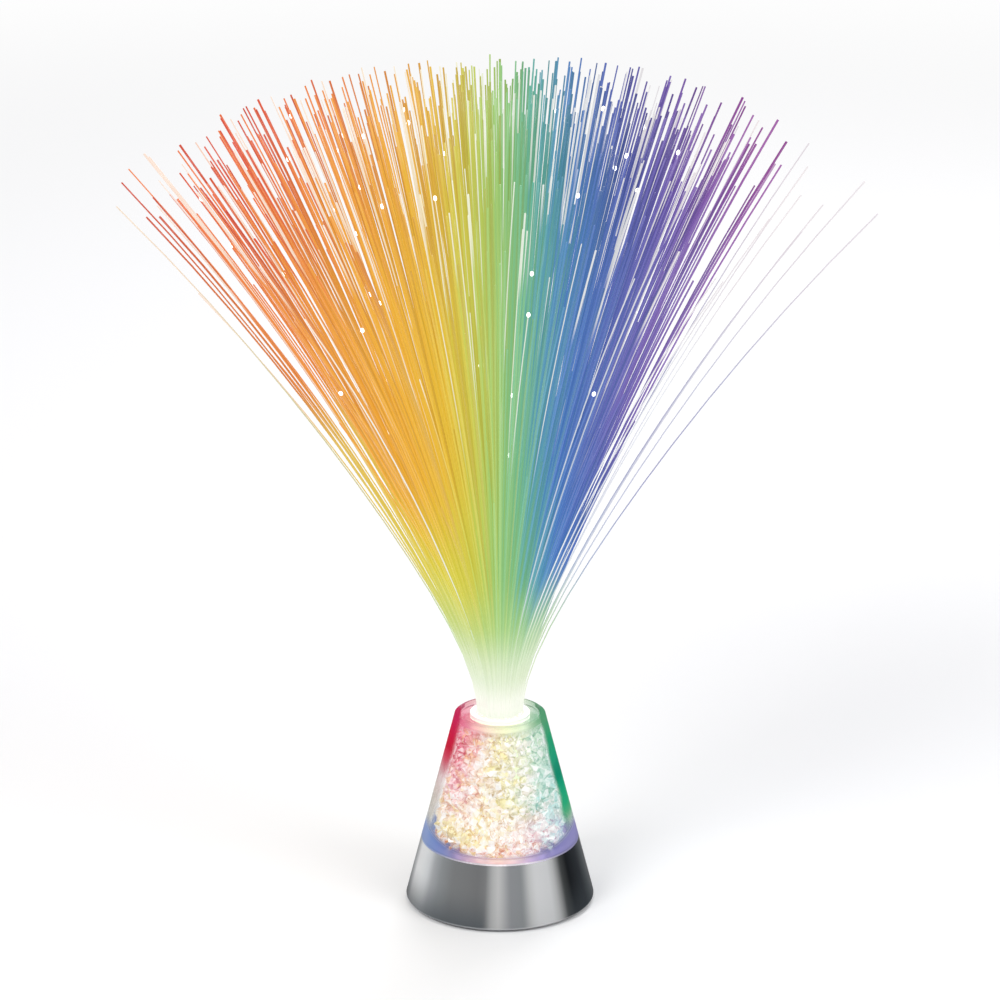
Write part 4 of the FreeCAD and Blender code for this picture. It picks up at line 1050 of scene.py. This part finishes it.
# Strokes of the letters on the cover, as points in parts of a letter's width.
LETTERS = {
    "O": [[(0.25, 0), (0.75, 0), (1, 0.35), (1, 1.15), (0.75, 1.5), (0.25, 1.5), (0, 1.15),
           (0, 0.35), (0.25, 0)]],
    "N": [[(0, 0), (0, 1.5), (1, 0), (1, 1.5)]],
    "F": [[(0, 0), (0, 1.5), (0.95, 1.5)], [(0, 0.8), (0.8, 0.8)]],
}
LETTER_WIDTH, LETTER_GAP, LETTER_STROKE = 1.25 * MM, 0.5 * MM, 0.3 * MM
LETTER_PROUD, LETTER_STEP = 0.12 * MM, 0.008 * MM
WORD_ASIDE, WORD_BEYOND = 1.6 * MM, 2.6 * MM  # from the knob's middle, along and across its way
SWITCH_TRAVEL = 4.0 * MM
HEADS_APART, HEAD_FACE = 6 * MM, 0.05 * MM  # least way between two screws, depth of a head's face
DRIVE_REACH, DRIVE_WIDTH = 0.85 * MM, 0.42 * MM
DRIVE_PROUD, DRIVE_STEP = 0.03 * MM, 0.01 * MM
SUNK = 0.1 * MM  # how far marks and drives go into what carries them


def add_bar(bars, start, end, width, low, high):
    """A bar between two points on a level face, from one height to another."""
    along = (end - start).normalized() * (width / 2)
    side = Vector((-along.y, along.x))
    corners = [start - along - side, end + along - side, end + along + side, start - along + side]
    first = len(bars[0])
    bars[0].extend((c.x, c.y, level) for level in (low, high) for c in corners)
    bars[1].extend(tuple(first + k for k in face) for face in (
        (3, 2, 1, 0), (4, 5, 6, 7), (0, 1, 5, 4), (1, 2, 6, 5), (2, 3, 7, 6), (3, 0, 4, 7),
    ))


def build_marks(material):
    """Raised OFF and ON beside the switch's two ends, read from below.

    Strokes that cross stand proud by slightly different steps, so that no faces coincide.
    """
    low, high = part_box("switch_knob")
    knob = (low + high) / 2
    off_middle = knob.x - WORD_ASIDE
    on_middle = knob.x + SWITCH_TRAVEL + WORD_ASIDE
    pitch = LETTER_WIDTH + LETTER_GAP
    bars = ([], [])
    bar_count = 0
    for word, middle in (("OFF", off_middle), ("ON", on_middle)):
        for place, letter in enumerate(word):
            left = middle + (len(word) / 2 - place) * pitch - LETTER_GAP / 2
            foot = knob.y + WORD_BEYOND
            for stroke in LETTERS[letter]:
                points = [Vector((left - x * LETTER_WIDTH, foot + y * LETTER_WIDTH))
                          for x, y in stroke]
                for start, end in zip(points, points[1:]):
                    bar_count += 1
                    level = COVER_FACE - LETTER_PROUD - bar_count % 5 * LETTER_STEP
                    add_bar(bars, start, end, LETTER_STROKE, level, COVER_FACE + SUNK)
    new_piece("switch_marks", *bars, material, "base")


def head_places(node):
    """Middles of the screw heads in a node, at the level of their lowest face."""
    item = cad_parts[node]
    corners = [item.matrix_world @ v.co for v in item.data.vertices]
    face = min(c.z for c in corners)
    heads = []
    for corner in (c for c in corners if c.z < face + HEAD_FACE):
        near = [head for head in heads if (head[0] - corner).length < HEADS_APART]
        if near:
            near[0].append(corner)
        else:
            heads.append([corner])
    for head in heads:
        across, along = [c.x for c in head], [c.y for c in head]
        yield Vector((
            (min(across) + max(across)) / 2, (min(along) + max(along)) / 2, face,
        ))


def build_drives(node, body, material):
    """Cross drives in the screw heads, each screw turned its own way."""
    chance = random.Random(len(node))
    bars = ([], [])
    for middle in head_places(node):
        angle = chance.uniform(0, math.pi)
        for bar in range(2):
            way = Vector((math.cos(angle), math.sin(angle))) * DRIVE_REACH
            low = middle.z - DRIVE_PROUD - bar * DRIVE_STEP
            add_bar(bars, middle.xy - way, middle.xy + way, DRIVE_WIDTH, low, middle.z + SUNK)
            angle += math.pi / 2
    new_piece(f"{node}_drives", *bars, material, body)


def dress_underside():
    """Cover, door, feet, knob and screws, with the marks and the cross drives."""
    cover = moulded("black_cover", "1c1d1f", 0.42)
    dress(cover, "bottom_cover", "battery_door")
    build_marks(cover)
    drive = plated("drive_steel", "36393d", 0.5)
    build_drives("cover_screws", "base", drive)
    build_drives("door_screw", "door", drive)
    dress(moulded("knob_plastic", "c1c3c6", 0.35), "switch_knob")
    dress(rubber(), "feet")
    dress(plated("screw_steel", "b9bcc0", 0.24), "cover_screws", "door_screw", "dome_screws",
          "board_screws", "switch_screws")


def dress_inside():
    """Board, LEDs, cells, contacts, switch and leads."""
    dress(circuit_board(), "led_board")
    dress(led_case(), "leds_centre", "leds_ring")
    dress(moulded("black_resin", "161617", 0.4), "control_chip", "switch_body")
    dress(plated("capacitor_can", "8f9498", 0.3), "capacitor")
    dress(cell_can(), "battery_cell_1", "battery_cell_2", "battery_cell_3")
    dress(plated("contact_plate", "c9ccd0", 0.22), "contact_positive", "contact_negative",
          "contact_link_left", "contact_link_right", "battery_springs")
    dress(moulded("lead_red", "b3241f", 0.45), "lead_positive", "lead_switch")
    dress(moulded("lead_black", "1a1a1a", 0.45), "lead_negative")


# Stage ---------------------------------------------------------------------------------------


FLOOR_RADIUS = 9.0
LIT_MIDDLE = Vector((0, 0, 0.15))
# each light's name, place, size in metres and watts
LIGHTS = (
    ("key_light", (-0.9, -1.1, 1.3), 0.9, 14),
    ("fill_light", (1.1, -0.8, 0.9), 1.0, 8),
    ("back_light", (0.3, 1.2, 1.2), 0.9, 8),
)
SEEN_MIDDLE = Vector((0, 0, 0.168))
LENS, SENSOR_WIDTH = 138, 36


def build_floor(settings):
    """A wide pale disc that turns into the white surroundings before its edge."""
    finish = Finish("floor_paper")
    x, y = finish.axes("xy")
    far = finish.rise(finish.maths("SQRT", x * x + y * y), 0.5, 2.2)
    paper = finish.node("BsdfDiffuse", None, {"Color": settings.floor})
    white = finish.node("Emission", None, {"Color": "ffffff", "Strength": 1.0})
    both = finish.node("MixShader", None, {0: far, 1: paper.outputs[0], 2: white.outputs[0]})
    material = finish.output(both.outputs[0])
    disc = bmesh.new()
    bmesh.ops.create_circle(disc, cap_ends=True, segments=96, radius=FLOOR_RADIUS)
    mesh = bpy.data.meshes.new("floor")
    disc.to_mesh(mesh)
    disc.free()
    mesh.materials.append(material)
    floor = bpy.data.objects.new("floor", mesh)
    bpy.context.scene.collection.objects.link(floor)


def build_world():
    """White to the camera, to gloss and through glass; a softer white for lighting."""
    world = bpy.data.worlds.new("studio")
    bpy.context.scene.world = world
    finish = Finish("studio", world)
    path = finish.node("LightPath")
    kinds = ("Is Camera Ray", "Is Glossy Ray", "Is Transmission Ray")
    camera, gloss, glass = (Wire(finish, path.outputs[kind]) for kind in kinds)
    seen = finish.maths("MINIMUM", camera + gloss + glass, 1.0)
    colour = finish.mix(seen, (0.62, 0.62, 0.63), "ffffff")
    sky = finish.node("Background", None, {"Color": colour, "Strength": 1.0})
    finish.node("OutputWorld", None, {"Surface": sky.outputs[0]})


def add_light(name, place, size, power):
    """A round area light, so many metres across and so many watts, that looks at the lamp."""
    lamp = bpy.data.lights.new(name, "AREA")
    lamp.shape = "DISK"
    lamp.size = size
    lamp.energy = power
    item = bpy.data.objects.new(name, lamp)
    item.location = place
    item.rotation_euler = (LIT_MIDDLE - Vector(place)).to_track_quat("-Z", "Y").to_euler()
    bpy.context.scene.collection.objects.link(item)


def build_camera(settings):
    """Camera in front of the lamp, its frame just wider than the spray."""
    back = Vector((0, -math.cos(settings.elevation), math.sin(settings.elevation)))
    data = bpy.data.cameras.new("camera")
    data.sensor_width = SENSOR_WIDTH
    data.lens = LENS
    camera = bpy.data.objects.new("camera", data)
    camera.location = SEEN_MIDDLE + back * settings.distance
    camera.rotation_euler = (-back).to_track_quat("-Z", "Y").to_euler()
    data.clip_start, data.clip_end = 0.05, 50
    bpy.context.scene.collection.objects.link(camera)
    bpy.context.scene.camera = camera


# Operators, panel and registration -----------------------------------------------------------


class LAMP_OT_band(bpy.types.Operator):
    """Finish the metal band."""

    bl_idname = "lamp.band"
    bl_label = "Metal band"

    def execute(self, context):
        dress(satin_band(context.scene.lamp_band), "base_shell")
        return {"FINISHED"}


class LAMP_OT_cone(bpy.types.Operator):
    """Finish the clear cone, the tube in it and the floor under the crystals."""

    bl_idname = "lamp.cone"
    bl_label = "Clear cone"

    def execute(self, context):
        dress(clear_wall(context.scene.lamp_cone), "clear_dome")
        dress(clear_tube(), "core_tube")
        dress(frosted_floor(), "crystal_floor")
        return {"FINISHED"}


class LAMP_OT_crystals(bpy.types.Operator):
    """Fill the clear cone with crystals."""

    bl_idname = "lamp.crystals"
    bl_label = "Crystals"

    def execute(self, context):
        build_crystals(context.scene.lamp_crystals)
        return {"FINISHED"}


class LAMP_OT_fibres(bpy.types.Operator):
    """Grow the spray of fibres and finish its ferrule."""

    bl_idname = "lamp.fibres"
    bl_label = "Fibres"

    def execute(self, context):
        build_tips(build_fibres(context.scene.lamp_fibres))
        dress(potted_finish(), "fibre_bundle")
        dress(sleeve_finish(), "fibre_sleeve")
        return {"FINISHED"}


class LAMP_OT_underside(bpy.types.Operator):
    """Finish the bottom cover, battery door, feet, knob and screws."""

    bl_idname = "lamp.underside"
    bl_label = "Underside"

    def execute(self, context):
        dress_underside()
        return {"FINISHED"}


class LAMP_OT_inside(bpy.types.Operator):
    """Finish the parts inside: board, LEDs, cells, contacts, switch and leads."""

    bl_idname = "lamp.inside"
    bl_label = "Inner parts"

    def execute(self, context):
        dress_inside()
        return {"FINISHED"}


class LAMP_OT_stage(bpy.types.Operator):
    """Set the floor, the surroundings, the lights and the camera."""

    bl_idname = "lamp.stage"
    bl_label = "Stage"

    def execute(self, context):
        settings = context.scene.lamp_stage
        build_floor(settings)
        build_world()
        for light in LIGHTS:
            add_light(*light)
        build_camera(settings)
        context.scene.view_settings.view_transform = "Standard"
        return {"FINISHED"}


class LAMP_PT_panel(bpy.types.Panel):
    """Every step of the lamp's finish, in order."""

    bl_label = "Fibre lamp"
    bl_idname = "LAMP_PT_panel"
    bl_space_type = "VIEW_3D"
    bl_region_type = "UI"
    bl_category = "Fibre Lamp"

    def draw(self, context):
        for group in SETTINGS:
            settings = getattr(context.scene, group)
            box = self.layout.box()
            for name in settings.__annotations__:
                box.prop(settings, name)
        for step in STEPS:
            self.layout.operator(step.bl_idname)


SETTINGS = {
    "lamp_band": BandSettings,
    "lamp_cone": ConeSettings,
    "lamp_crystals": CrystalSettings,
    "lamp_fibres": FibreSettings,
    "lamp_stage": StageSettings,
}
STEPS = (
    LAMP_OT_band, LAMP_OT_cone, LAMP_OT_crystals, LAMP_OT_fibres,
    LAMP_OT_underside, LAMP_OT_inside, LAMP_OT_stage,
)


def register():
    """Registers the classes and hangs the settings on the scene."""
    for kind in (*SETTINGS.values(), *STEPS, LAMP_PT_panel):
        bpy.utils.register_class(kind)
    for name, kind in SETTINGS.items():
        setattr(bpy.types.Scene, name, PointerProperty(type=kind))


def unregister():
    """Undoes what register did, in the opposite order."""
    for name in SETTINGS:
        delattr(bpy.types.Scene, name)
    for kind in (LAMP_PT_panel, *reversed(STEPS), *reversed(SETTINGS.values())):
        bpy.utils.unregister_class(kind)


def main():
    """Builds the whole lamp."""
    register()
    for step in STEPS:
        group, name = step.bl_idname.split(".")
        getattr(getattr(bpy.ops, group), name)()


if __name__ == "__main__":
    main()
